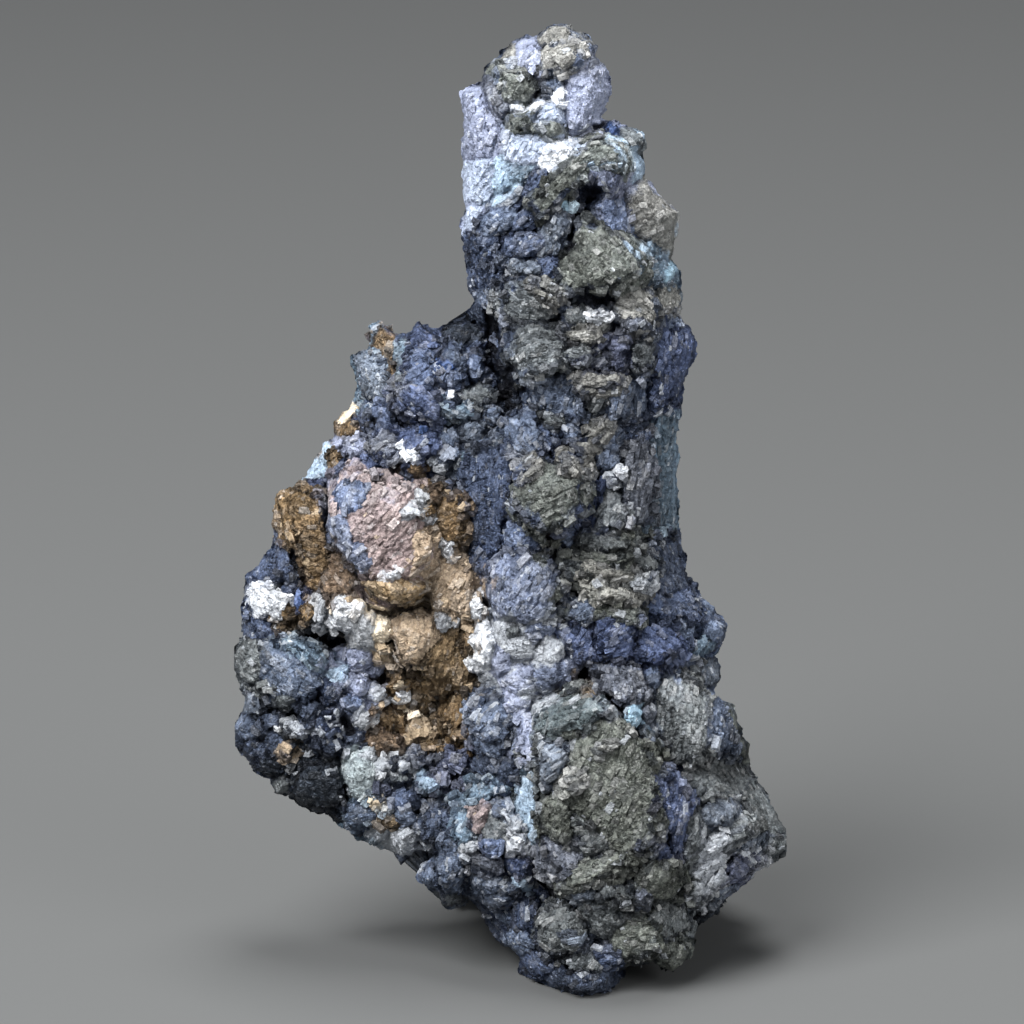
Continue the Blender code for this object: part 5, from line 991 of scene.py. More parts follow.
def druse(space):
    """Fine relief: intergrown cubes of three sizes and crumpled noise, each about its mean, in millimetres.

    Gives the relief of rough ground and of the calmer faces of large crystals, the cubes' random numbers,
    how near a place is to an edge between cubes, and the crumpled noise.
    """
    bend = rough_waves(space, 1.2, 61)[:, None]
    found = [crystals_of(space + cubes.bend * bend, cubes.size, cubes.salt, cubes.squat) for cubes in DRUSE]
    heights = [height for height, _, _ in found] + [creases(space, CREASE_SIZE, 131)]
    raised = [height - height.mean() for height in heights]
    return {
        "rough": sum(share * layer for share, layer in zip(ROUGH_SHARES, raised)),
        "calm": sum(share * layer for share, layer in zip(CALM_SHARES, raised)),
        "grain": sum(number for _, number, _ in found) / len(found),
        "crack": np.min([edge * cubes.edge for (_, _, edge), cubes in zip(found, DRUSE)], axis=0),
        "fold": heights[-1],
    }


def ridges(along, pitch, sharp=0.75):
    """Saw-toothed ridges: each rises slowly over the share `sharp` of its pitch and falls over the rest."""
    share = (along / pitch) % 1.0
    return np.where(share < sharp, share / sharp, (1.0 - share) / (1.0 - sharp)) * 2.0 - 1.0


def nearest_side(places, corners, widths=None):
    """How deep places lie inside a closed outline, negative outside, and the number of the nearest side.

    Each distance is divided by its side's width where widths are given. A place is inside where a level
    line to its right crosses the outline an odd number of times.
    """
    near = np.full(len(places), np.inf)
    side = np.zeros(len(places), np.int64)
    inside = np.zeros(len(places), bool)
    for index, start in enumerate(corners):
        end = corners[(index + 1) % len(corners)]
        run = end - start
        away = places - start
        share = np.clip(away @ run / (run @ run), 0.0, 1.0)
        gap = np.hypot(away[:, 0] - share * run[0], away[:, 1] - share * run[1])
        gap = gap if widths is None else gap / widths[index]
        side[gap < near] = index
        near = np.minimum(near, gap)
        rise = run[1] if abs(run[1]) > 1e-9 else 1e-9
        crosses = (start[1] > places[:, 1]) != (end[1] > places[:, 1])
        inside ^= crosses & (places[:, 0] < start[0] + run[0] * (places[:, 1] - start[1]) / rise)
    return np.where(inside, near, -near), side


def inside_by(places, corners):
    """How deep places lie inside a closed outline, negative outside."""
    return nearest_side(places, corners)[0]


def near_outline(places, corners, reach):
    """Which places lie in an outline's box, widened by a reach."""
    low = corners.min(axis=0) - reach
    high = corners.max(axis=0) + reach
    return np.nonzero(((places > low) & (places < high)).all(axis=1))[0]


def lump_corners(row, index, kind=None):
    """Corners of a crystal given by its middle and size: round an ellipse turned by its lean, unevenly."""
    sides = LUMP_SIDES[kind or row.kind]
    turn = 2.0 * math.pi * (np.arange(sides) + 0.5) / sides
    uneven = side_randoms(index, sides, 1) - 0.5
    turn = turn + uneven * 1.6 / sides
    reach = 1.12 + 0.16 * uneven[::-1]
    flat = np.stack([np.cos(turn) * row.wide * reach, np.sin(turn) * row.tall * reach], axis=-1) / 2.0
    lean = math.radians(row.lean)
    turned = np.array([[math.cos(lean), math.sin(lean)], [-math.sin(lean), math.cos(lean)]])
    return flat @ turned + (row.across, row.up)


def read_mesh(mesh):
    """Points of a mesh, in the front view's millimetres."""
    points = np.empty(len(mesh.vertices) * 3)
    mesh.vertices.foreach_get("co", points)
    return from_world(points.reshape(-1, 3))


def add_attribute(mesh, name, values):
    """Stores one number or one colour a point."""
    if values.ndim == 2:
        values = np.concatenate([values, np.ones((len(values), 1))], axis=1)
        mesh.attributes.new(name, "FLOAT_COLOR", "POINT").data.foreach_set("color", values.ravel())
    else:
        mesh.attributes.new(name, "FLOAT", "POINT").data.foreach_set("value", values)


def into_box(points):
    """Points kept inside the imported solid's box, which also keeps them on the floor or above it."""
    return np.clip(points, from_world(STONE_LOW), from_world(STONE_HIGH))


def metal_share(colour):
    """How metallic the tarnish is: bright powdery films less than dark ones."""
    return np.clip(0.85 - 1.6 * colour.mean(axis=1), 0.1, 0.8)


def new_piece(name, points, faces, paint, smooth=True):
    """A piece of the stone at the origin, its tarnish with painted light and shade stored in its points, riding
    on the stone's body.
    """
    if not len(faces) or not np.isfinite(points).all():
        raise RuntimeError(f"{name} has no faces, or points without a place")
    mesh = bpy.data.meshes.new(name)
    mesh.from_pydata(to_world(into_box(points)), [], faces)
    add_attribute(mesh, "tarnish", paint)
    add_attribute(mesh, "metal", metal_share(paint))
    mesh.polygons.foreach_set("use_smooth", np.full(len(mesh.polygons), smooth))
    mesh.update()
    mesh.materials.append(bpy.data.materials.get("tarnished_sulphide") or tarnished_sulphide())
    piece = bpy.data.objects.new(name, mesh)
    bpy.context.scene.collection.objects.link(piece)
    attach(piece, BODY)
    return piece


def welded_solid():
    """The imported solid's points, each kept once, and its triangles."""
    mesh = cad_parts[NODE].data
    loose = np.empty(len(mesh.vertices) * 3)
    mesh.vertices.foreach_get("co", loose)
    loose = loose.reshape(-1, 3)
    corners = np.empty(len(mesh.loops), np.int64)
    mesh.loops.foreach_get("vertex_index", corners)
    rounded = np.round(loose / 1e-7).astype(np.int64)
    _, first, index = np.unique(rounded, axis=0, return_index=True, return_inverse=True)
    return loose[first], index.reshape(-1)[corners].reshape(-1, 3)


def evenly_meshed(voxel):
    """The solid's surface as an even mesh of small quads: points, faces and normals."""
    points, triangles = welded_solid()
    mesh = bpy.data.meshes.new("solid_copy")
    mesh.from_pydata(points, [], triangles)
    copy = bpy.data.objects.new("solid_copy", mesh)
    bpy.context.scene.collection.objects.link(copy)
    remesh = copy.modifiers.new("even", "REMESH")
    remesh.mode = "VOXEL"
    remesh.voxel_size = voxel * MM
    evaluated = copy.evaluated_get(bpy.context.evaluated_depsgraph_get())
    even = bpy.data.meshes.new_from_object(evaluated)
    bpy.data.objects.remove(copy)
    found = read_mesh(even)
    corners = np.empty(len(even.loops), np.int64)
    even.loops.foreach_get("vertex_index", corners)
    normals = np.empty(len(found) * 3)
    even.vertex_normals.foreach_get("vector", normals)
    bpy.data.meshes.remove(even)
    return found, corners.reshape(-1, 4), normals.reshape(-1, 3)


def mesh_normals(points, faces):
    """Each point's outward direction: the sum of its faces' diagonals' cross products, made one long."""
    across = points[faces[:, 2]] - points[faces[:, 0]]
    up = points[faces[:, 3]] - points[faces[:, 1]]
    outward = np.repeat(np.cross(across, up), 4, axis=0)
    total = [np.bincount(faces.ravel(), outward[:, axis], len(points)) for axis in range(3)]
    return unit(np.stack(total, axis=-1))


def read_grid(grid, places):
    """The depth grid's values at places between its points, blended along both axes."""
    spot = np.clip((places - WINDOW_LOW) / DEPTH_CELL, 0.0, np.array(grid.shape) - 1.001)
    base = spot.astype(np.int64)
    share = spot - base
    across, up = base[:, 0], base[:, 1]
    left = grid[across, up] * (1.0 - share[:, 1]) + grid[across, up + 1] * share[:, 1]
    right = grid[across + 1, up] * (1.0 - share[:, 1]) + grid[across + 1, up + 1] * share[:, 1]
    return left * (1.0 - share[:, 0]) + right * share[:, 0]


def grid_cells(places):
    """The depth grid's size, and the cell that each place lies in."""
    count = np.ceil((WINDOW_HIGH - WINDOW_LOW) / DEPTH_CELL).astype(int) + 1
    return count, np.clip(np.round((places - WINDOW_LOW) / DEPTH_CELL).astype(int), 0, count - 1)


def spread_out(total, held, rounds):
    """Sums over cells, blurred in rounds of three by three means, then spread into cells that hold none."""
    for turn in range(rounds + SPREAD_ROUNDS):
        spread = []
        for field in (total, held):
            ring = np.pad(field, 1)
            rows = ring[:-2] + ring[1:-1] + ring[2:]
            spread.append((rows[:, :-2] + rows[:, 1:-1] + rows[:, 2:]) / 9.0)
        changed = held <= (np.inf if turn < rounds else 1e-6)
        total = np.where(changed, spread[0], total)
        held = np.where(changed, spread[1], held)
    return total / np.maximum(held, 1e-12)


def front_depths():
    """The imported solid's nearest surface along the line of sight, on a grid over the front's window, blurred.

    The least depth in each cell is taken, and each round of the blur replaces the sums of depths and of
    filled cells by their means over three by three cells, so that empty cells take their neighbours' depth.
    """
    seen = seen_at(evenly_meshed(DEPTH_VOXEL)[0])
    count, cells = grid_cells(seen[:, :2])
    nearest = np.full(tuple(count), np.inf)
    np.minimum.at(nearest, (cells[:, 0], cells[:, 1]), seen[:, 2])
    filled = np.isfinite(nearest).astype(float)
    return spread_out(np.where(filled > 0, nearest, 0.0), filled, DEPTH_ROUNDS)


def blurred_over(places, values, rounds):
    """A field's broad form: its means over the depth grid's cells, blurred, and read back at the places."""
    count, cells = grid_cells(places)
    flat = cells[:, 0] * count[1] + cells[:, 1]
    total = np.bincount(flat, values, count.prod()).reshape(tuple(count))
    held = np.bincount(flat, minlength=count.prod()).reshape(tuple(count)).astype(float)
    return read_grid(spread_out(total, held, rounds), places)


class Front:
    """The front's depth over the window, shared by the steps."""

    depths = None
    outline = None

    @classmethod
    def read(cls):
        """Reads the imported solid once."""
        if cls.depths is None:
            cls.depths = front_depths()
            cls.outline = np.array(OUTLINE)
        return cls

    @classmethod
    def depth_at(cls, places):
        """The broad form's depth along the line of sight, rolling back over the last bit before the rim."""
        inside = np.maximum(inside_by(places, cls.outline), 0.0)
        short = np.maximum(RIM_ROLL - inside, 0.0)
        return read_grid(cls.depths, places) + RIM_ROLL - np.sqrt(np.maximum(RIM_ROLL**2 - short**2, 0.0))


def behind_front(flat, depth):
    """How far to move the broad form back, so that the relief on it stays behind the box's front.

    With G the gap to a line ROOM behind the box's front, and R for ROLL_IN, it becomes R ln(1 + e^(G / R)).
    """
    gap = from_seen(flat, depth)[:, 1] - from_world(STONE_LOW)[1] - ROOM
    return ROLL_IN * np.log1p(np.exp(gap / ROLL_IN)) - gap


def front_sheet(pitch, outline):
    """A grid of places over the front, cut along its broken rim: places, faces, ways inwards, depths inside.

    The depth inside the outline, broken by waves and near the rim by cubes, is positive on the stone. Quads
    with a corner on the stone stay, and their corners off it move inwards along the depth's slope onto it.
    """
    count = np.floor((WINDOW_HIGH - WINDOW_LOW) / pitch).astype(int)
    steps = np.stack(np.meshgrid(*[np.arange(n) for n in count], indexing="ij"), axis=-1)
    flat = steps.reshape(-1, 2) * pitch + WINDOW_LOW
    space = np.concatenate([flat, np.zeros((len(flat), 1))], axis=-1)
    deep = inside_by(flat, outline) + RIM_WAVE[0] * rough_waves(space, RIM_WAVE[1], 51, 2)
    near = np.nonzero(abs(deep) < RIM_NEAR)[0]
    for size, salt in RIM_CUBES:
        deep[near] += RIM_BREAK * (crystals_of(space[near], size, salt)[0] + 0.3 * size)
    field = deep.reshape(tuple(count))
    inward = np.stack(np.gradient(field, pitch), axis=-1).reshape(-1, 2)
    inward /= np.maximum(np.linalg.norm(inward, axis=-1, keepdims=True), 1e-6)
    number = np.arange(len(flat)).reshape(tuple(count))
    quads = np.stack([number[:-1, :-1], number[1:, :-1], number[1:, 1:], number[:-1, 1:]], axis=-1)
    faces = quads.reshape(-1, 4)
    faces = faces[(deep[faces] > 0).any(axis=1)]
    used, faces = np.unique(faces, return_inverse=True)
    flat = flat[used] - inward[used] * np.minimum(deep[used], 0.0)[:, None]
    return flat, faces.reshape(-1, 4), inward[used], deep[used]


def one_crystal(row, index, corners, places, bend):
    """A listed crystal at places near it: its level, and what belongs to it there.

    With D the depth inside its outline in units of each edge's bevel, a dome rises as the root of
    1 - (1 - D)^2, the others from a set share, then evenly up to D = 1. Its top leans a little, and outside
    its outline it falls by FLANK for each millimetre.
    """
    is_dome = row.kind == "dome"
    half = np.ptp(corners, axis=0).min() / 2.0
    bevel = half * BEVEL_SHARE[row.kind]
    widths = bevel * (0.25 + 1.1 * side_randoms(index, len(corners), 2))
    if row.kind in ("dome", "shard"):
        widths = np.full(len(corners), half * ROUND_BEVEL)
    deep, side = nearest_side(places, corners, widths)
    share = np.clip(deep, 0.0, 1.0)
    side[share >= 1.0] = len(corners)
    rise = np.sqrt(1.0 - (1.0 - share) ** 2) if is_dome else WALL[row.kind] + (1.0 - WALL[row.kind]) * share
    fall = 2.0 * math.pi * row_random(index, 5)
    lean = 0.0 if is_dome else TABLE_LEAN * (0.3 + row_random(index, 6))
    slope = lean * ((places - corners.mean(axis=0)) @ (math.cos(fall), math.sin(fall)))
    outside = np.maximum(-inside_by(places, corners), 0.0)
    turn = math.radians(180.0 * row_random(index, 8) if row.grain is None else row.grain)
    beside = places @ (-math.sin(turn), math.cos(turn))
    high = TEETH_HIGH if row.grain is not None else 0.0 if is_dome else TEETH_LOW
    return {
        "level": 0.3 + row.out * (0.5 + 0.5 * rise) + slope - FLANK * outside,
        "reached": outside < FLANK_REACH,
        "bevelled": abs(deep) * bevel,
        "share": share,
        "facet": side_randoms(index, len(corners) + 1, 12)[side] - 0.5,
        "lamellae": high * ridges(beside + 0.5 * bend, TEETH_PITCH) * np.minimum(share * 3.0, 1.0),
        "calm": CALM[row.kind] * smooth_step(-0.1, 0.15, share),
        "number": np.full(len(places), row_random(index, 9)),
        "aim": np.full(len(places), turn),
        "owner": np.full(len(places), index),
    }


def listed_relief(moved, space, bend):
    """Height and more of the listed crystals and the druse between them: the highest counts."""
    large, large_number, large_edge = crystals_of(space, 2.0, 3)
    relief = {
        "level": 0.1 + 0.9 * large,
        "share": np.zeros(len(moved)),
        "facet": large_number - 0.5,
        "lamellae": np.zeros(len(moved)),
        "calm": np.zeros(len(moved)),
        "number": large_number.copy(),
        "aim": 2.0 * math.pi * large_number,
        "owner": np.full(len(moved), -1),
        "edge": large_edge * 0.75,
    }
    for index, row in enumerate(CRYSTALS):
        corners = np.array(row.corners) if isinstance(row, Cut) else lump_corners(row, index)
        near = near_outline(moved, corners, FLANK_REACH)
        if not len(near):
            continue
        found = one_crystal(row, index, corners, moved[near], bend[near])
        over = found["level"] - relief["level"][near]
        wins = found.pop("reached") & (over > 0.0)
        found["edge"] = np.minimum(over, found.pop("bevelled"))
        for name, values in found.items():
            relief[name][near[wins]] = values[wins]
    return relief


def front_relief(places, space):
    """Height of the front's large crystals over its broad form, and who owns each place.

    The height over its own blurred form is `stands`, from LOWEST to HIGHEST, less the listed hollows. Of the
    blurred form, the share IN_SOLID of its broadest part is taken away: `broad` is what remains.
    """
    wobble = wave_pair(space, 1.2, (61, 71))
    moved = places + OUTLINE_BEND * wobble
    relief = listed_relief(moved, space, wobble[:, 0])
    height = relief.pop("level")
    broad = blurred_over(places, height, 2)
    stands = np.clip(height - broad, LOWEST, HIGHEST)
    cleft = np.zeros(len(places))
    for index, row in enumerate(HOLLOWS):
        corners = lump_corners(row, index, "dome")
        near = near_outline(moved, corners, 0.5)
        deep = inside_by(moved[near] + 0.4 * wobble[near], corners)
        half = min(row.wide, row.tall) / 2.0
        share = smooth_step(-0.4 * half, 0.9 * half, deep)
        stands[near] -= 0.6 * row.deep * share
        cleft[near] = np.maximum(cleft[near], share)
        relief["owner"][near[share > 0.5]] = len(CRYSTALS) + index
    relief["broad"] = broad - IN_SOLID * blurred_over(places, height, DEPTH_ROUNDS)
    return relief | {"stands": stands, "cleft": cleft}


def tarnish_of(paint):
    """The linear colour of a named tarnish."""
    return np.array(getattr(bpy.context.scene.chalcocite_tarnish, paint)[:])


def boldness(light, loss=0.7):
    """How strongly a tarnish varies by its lightness: fully where dark, and less by `loss` where pale."""
    return 1.0 - loss * smooth_step(*PALE, light)


def tinted(colour, tint, share):
    """Colours with this share of them multiplied by a tint."""
    share = share[:, None]
    return colour * (1.0 - share) + colour * tint * share


def zone_paint(places, space):
    """Linear colour of the tarnish between the crystals: the zone nearest in units of its reach, unevenly."""
    nearest = np.full(len(places), np.inf)
    colour = np.zeros((len(places), 3))
    uneven = places + ZONE_WANDER * wave_pair(space, 1.6, (81, 91))
    for zone in ZONES:
        gap = np.hypot(uneven[:, 0] - zone.across, uneven[:, 1] - zone.up) / zone.reach
        wins = gap < nearest
        nearest[wins] = gap[wins]
        colour[wins] = tarnish_of(zone.paint)
    return colour


def owned_paint(colour, space, relief):
    """The crystals' own colours laid over the zones' colour, unevenly, mostly away from their edges."""
    named = np.array([tarnish_of(row.paint) for row in CRYSTALS + HOLLOWS])
    owned = relief["owner"] >= 0
    patch = rough_waves(space, 1.1, 101, 4)
    keep = smooth_step(-0.35, 0.15, 0.7 * patch + relief["share"])[owned][:, None] * 0.94
    colour[owned] = named[relief["owner"][owned]] * keep + colour[owned] * (1.0 - keep)
    return colour


def worn_lit_and_shaded(colour, space, fine, facets, number, calm):
    """Tarnish paler on crests, as wear and as a painted highlight, uneven from grain to grain, lighter on the
    fine relief's crests as painted light, and with painted shade in its low places and cracks.

    Where it is lighter than its mean it is also greyer: a painted sheen, as highlights off bare metal are.
    """
    light = colour.mean(axis=1, keepdims=True)
    bold = boldness(light[:, 0], 0.75) * (1.0 - 0.35 * calm)
    # Crests paler and greyer: wear, and a painted highlight
    wear_and_highlight = (smooth_step(-0.05, 0.4, facets) * 0.4)[:, None]
    colour = colour * (1.0 - wear_and_highlight) + (0.5 * light + 0.5 * colour) * WEAR_AND_HIGHLIGHT_TINT * wear_and_highlight
    # Lightness that differs at random from grain to grain, and rises on the fine relief's crests and folds as
    # painted light
    tone = 1.0 * (fine["grain"] - 0.5) + 0.25 * (number - 0.5) + 0.25 * rough_waves(space, 0.5, 121)
    tone += 0.35 * smooth_step(0.7, 0.95, fine["fold"]) + 0.3 * smooth_step(-0.2, 0.5, facets) - 0.2
    # Painted sheen: where it is lighter it is also greyer, as highlights off metal are
    painted_sheen = np.clip(1.2 * bold * tone, 0.0, 0.6)[:, None]
    colour = (colour * (1.0 - painted_sheen) + light * painted_sheen) * np.maximum(1.0 + bold * tone, 0.15)[:, None]
    # Painted shade in the fine relief's low places and in the druse's cracks
    colour = tinted(colour, PAINTED_SHADE_TINT, smooth_step(-0.02, -0.45, facets) * 0.6 * bold)
    return tinted(colour, CRACK_SHADE_TINT, smooth_step(0.1, 0.0, fine["crack"]) * 0.6 * bold)


def front_paint(places, space, relief, fine, facets):
    """The front's tarnish: zones, crystals' own colours and wear, with painted light and shade: each face a
    random step lighter or darker, painted shade where crystals stand low and in the seams between them, and
    dark painted shade in the hollows.
    """
    colour = owned_paint(zone_paint(places, space), space, relief)
    bold = boldness(colour.mean(axis=1))
    colour = worn_lit_and_shaded(colour, space, fine, facets, relief["number"], relief["calm"])
    # Each face of a crystal a random step lighter or darker: painted shading that sets its faces apart, as
    # light does
    colour *= 1.0 + (0.7 * bold * relief["facet"])[:, None]
    # Painted shade where a crystal stands low among its neighbours
    colour = tinted(colour, PAINTED_SHADE_TINT, smooth_step(-0.15, -0.9, relief["stands"]) * 0.55 * bold)
    # Painted shade in the seams between crystals
    colour = tinted(colour, SEAM_SHADE_TINT, smooth_step(0.26, 0.02, relief["edge"]) * 0.8 * bold)
    # Painted shade: the hollows painted nearly the dark hollow colour
    deep = relief["cleft"][:, None] * 0.85
    return colour * (1.0 - deep) + np.array(from_srgb(HOLLOW_SHADE_CODE)) * deep


def block_paint(paint, salt):
    """Colours of small crystals: their places' tarnish, each a little lighter or darker and the lighter ones
    greyer as a painted sheen, a few bright as pale flakes and painted glints.
    """
    tone = (0.85 * boldness(paint.mean(axis=1)) * (point_random(len(paint), salt) - 0.5))[:, None]
    # Painted sheen: the lighter crystals greyer, as highlights off metal are
    painted_sheen = np.clip(1.4 * tone, 0.0, 1.0)
    colour = (paint * (1.0 - painted_sheen) + paint.mean(axis=1, keepdims=True) * painted_sheen) * (1.0 + tone)
    # A few made bright: pale flakes and painted glints
    bright = point_random(len(paint), salt + 1)[:, None] > 1.0 - BRIGHT_SHARE
    warm = paint[:, :1] > 1.15 * paint[:, 2:]
    flake = np.where(warm, tarnish_of("tan"), tarnish_of("silver"))
    return np.where(bright, 0.4 * colour + 0.6 * flake, colour)


def many_blocks(middles, outward, along, sizes, tilt, salt):
    """Small crystals as one mesh of boxes: each by its middle, the way it faces and lies, and its sizes.

    A box's outer end is narrower by a random share, its corners are moved by up to a tenth of its size, and
    it is tilted at random off the direction it faces.
    """
    count = len(middles)
    number = np.arange(count)
    cells = np.stack([number, number // 5, number * 0 + salt], axis=-1)
    outward = outward + tilt * (lattice_vector(cells, salt + 1) - 0.5)
    outward /= np.linalg.norm(outward, axis=-1, keepdims=True)
    along = unit(along - outward * (along * outward).sum(axis=-1, keepdims=True))
    aside = np.cross(outward, along)
    local = BOX_CORNERS[None] * sizes[:, None] / 2.0
    taper = 0.55 + 0.4 * lattice_random(cells, salt + 5)
    local[:, 4:, :2] *= taper[:, None, None]
    corner = np.stack([np.repeat(number, 8), np.tile(np.arange(8), count), np.full(8 * count, salt)], axis=-1)
    local += 0.2 * (lattice_vector(corner, salt + 7).reshape(count, 8, 3) - 0.5) * sizes[:, None]
    points = middles[:, None] + local[..., :1] * along[:, None] + local[..., 1:2] * aside[:, None]
    points += local[..., 2:] * outward[:, None]
    faces = (BOX_FACES[None] + 8 * number[:, None, None]).reshape(-1, 4)
    return points.reshape(-1, 3), faces


def grow_blocks(name, points, normals, along, sizes, tilt, paint, salt):
    """Small crystals on these points of a surface, as one piece with plain faces."""
    middles = points + normals * sizes[:, 2:] * STANDS_OFF
    blocks, faces = many_blocks(middles, normals, along, sizes, tilt, salt)
    new_piece(name, blocks, faces, np.repeat(block_paint(paint, salt + 4), 8, axis=0), smooth=False)


def patchy(points, salt):
    """How thickly small crystals stand: about 1, in patches."""
    return 1.0 + PATCH_SWING * rough_waves(points, PATCH_SIZE, salt)


def add_front_blocks(points, normals, paint, relief, from_rim):
    """Scales that lie on the large crystals along their grain, and chunky grains on the rough ground.

    Each point gets one by chance, more often where the surface is steep and has fewer points to its area.
    """
    shape = bpy.context.scene.chalcocite_shape
    steep = 1.0 / np.clip(-(normals @ SIGHT), 0.14, 1.0)
    aim = relief["aim"][:, None]
    along = np.cos(aim) * RIGHT + np.sin(aim) * UPRIGHT
    inner = (from_rim > 0.35) & (relief["cleft"] < 0.6)
    small_at_rim = 0.5 + 0.5 * smooth_step(0.3, 2.0, from_rim)
    shares = (shape.scales * (relief["calm"] > 0.4), shape.grains * (relief["calm"] < 0.5))
    for share, (name, thick, least, loose, tilt, salt) in zip(shares, (SCALES, GRAINS)):
        chance = share * steep * patchy(points, salt) * inner
        picked = np.nonzero(point_random(len(points), salt) < chance)[0]
        some = len(picked)
        size = (0.24 + 0.6 * point_random(some, salt + 1) ** 2) * small_at_rim[picked]
        wide = size * (1.1 + 0.6 * point_random(some, salt + 2))
        sizes = np.stack([wide, size * 0.8, size * thick + least], axis=-1)
        lie = along[picked] + loose * (point_random(3 * some, salt + 3).reshape(some, 3) - 0.5)
        grow_blocks(name, points[picked], normals[picked], lie, sizes, tilt, paint[picked], salt)


def add_back_blocks(points, normals, paint):
    """Grains and scales on the sides and the back."""
    share = bpy.context.scene.chalcocite_shape.back_grains
    salt = BACK_SALT
    chance = share * patchy(points, salt) * (normals @ SIGHT > -0.25)
    picked = np.nonzero(point_random(len(points), salt) < chance)[0]
    some = len(picked)
    size = 0.3 + 0.9 * point_random(some, salt + 1) ** 2
    sizes = np.stack([size * 1.3, size * 0.85, size * (0.25 + 0.6 * point_random(some, salt + 2))], axis=-1)
    along = point_random(3 * some, salt + 3).reshape(some, 3) - 0.5
    grow_blocks("back_grains", points[picked], normals[picked], along, sizes, BACK_TILT, paint[picked], salt)


def with_skirt(points, faces, inward):
    """The sheet with rings of faces from its rim backwards and inwards, and each point's source point."""
    starts = faces.ravel()
    ends = np.roll(faces, -1, axis=1).ravel()
    codes = starts * len(points) + ends
    rim = ~np.isin(codes, ends * len(points) + starts)
    starts, ends = starts[rim], ends[rim]
    source = np.arange(len(points))
    edge = np.unique(starts)
    slot = np.full(len(points), -1)
    slot[edge] = np.arange(len(edge))
    rings = [points]
    sheet = [faces]
    above_starts, above_ends = starts, ends
    size = len(points)
    for back, aside in SKIRT_RINGS:
        rings.append(points[edge] + SIGHT * back + aside * (inward[edge] @ np.array([RIGHT, UPRIGHT])))
        next_starts, next_ends = slot[starts] + size, slot[ends] + size
        sheet.append(np.stack([above_ends, above_starts, next_starts, next_ends], axis=-1))
        above_starts, above_ends = next_starts, next_ends
        source = np.concatenate([source, edge])
        size += len(edge)
    return np.concatenate(rings), np.concatenate(sheet), source


def inside_outline(seen, outline):
    """Places of the skin as seen, moved inwards along the outline's slope until they are SKIN_INSIDE it."""
    flat = seen[:, :2]
    inside = inside_by(flat, outline)
    steps = ((OUTLINE_STEP, 0.0), (0.0, OUTLINE_STEP))
    slope = np.stack([inside_by(flat + step, outline) - inside for step in steps], axis=-1)
    slope /= np.maximum(np.linalg.norm(slope, axis=-1, keepdims=True), 1e-6)
    return flat + slope * np.clip(SKIN_INSIDE - inside, 0.0, 4.0)[:, None]


class Wire:
    """A shader value: operators on it add Math nodes, and its methods any other node."""

    def __init__(self, tree, socket=None):
        self.tree = tree
        self.socket = socket

    def node(self, kind, settings=(), **links):
        """Adds a node of a type, makes its settings first, and fills its sockets with values or wires."""
        made = self.tree.nodes.new(kind)
        for name, value in dict(settings).items():
            setattr(made, name, value)
        for name, value in links.items():
            socket = made.inputs[int(name[1:])] if name[0] == "_" else made.inputs[name]
            if isinstance(value, Wire):
                self.tree.links.new(value.socket, socket)
            else:
                socket.default_value = value
        return made

    def out(self, made, name=0):
        """A wire from a node's output."""
        return Wire(self.tree, made.outputs[name])

    def math(self, operation, *values):
        """One Math node on these values."""
        links = {f"_{place}": value for place, value in enumerate(values)}
        return self.out(self.node("ShaderNodeMath", {"operation": operation}, **links))

    def vector_math(self, operation, *values):
        """One Vector Math node on this vector and others."""
        links = {f"_{place}": value for place, value in enumerate((self, *values))}
        made = self.node("ShaderNodeVectorMath", {"operation": operation}, **links)
        return self.out(made, "Value" if operation == "DOT_PRODUCT" else "Vector")

    def __add__(self, other):
        return self.math("ADD", self, other)

    def __radd__(self, other):
        return self.math("ADD", other, self)

    def __sub__(self, other):
        return self.math("SUBTRACT", self, other)

    def __rsub__(self, other):
        return self.math("SUBTRACT", other, self)

    def __mul__(self, other):
        return self.math("MULTIPLY", self, other)

    def __rmul__(self, other):
        return self.math("MULTIPLY", other, self)

    def scaled(self, factor):
        """This vector times one number."""
        made = self.node("ShaderNodeVectorMath", {"operation": "SCALE"}, _0=self, Scale=factor)
        return self.out(made, "Vector")

    def centred(self):
        """This colour as a vector, less a half along each axis."""
        return self.vector_math("SUBTRACT", (0.5, 0.5, 0.5))


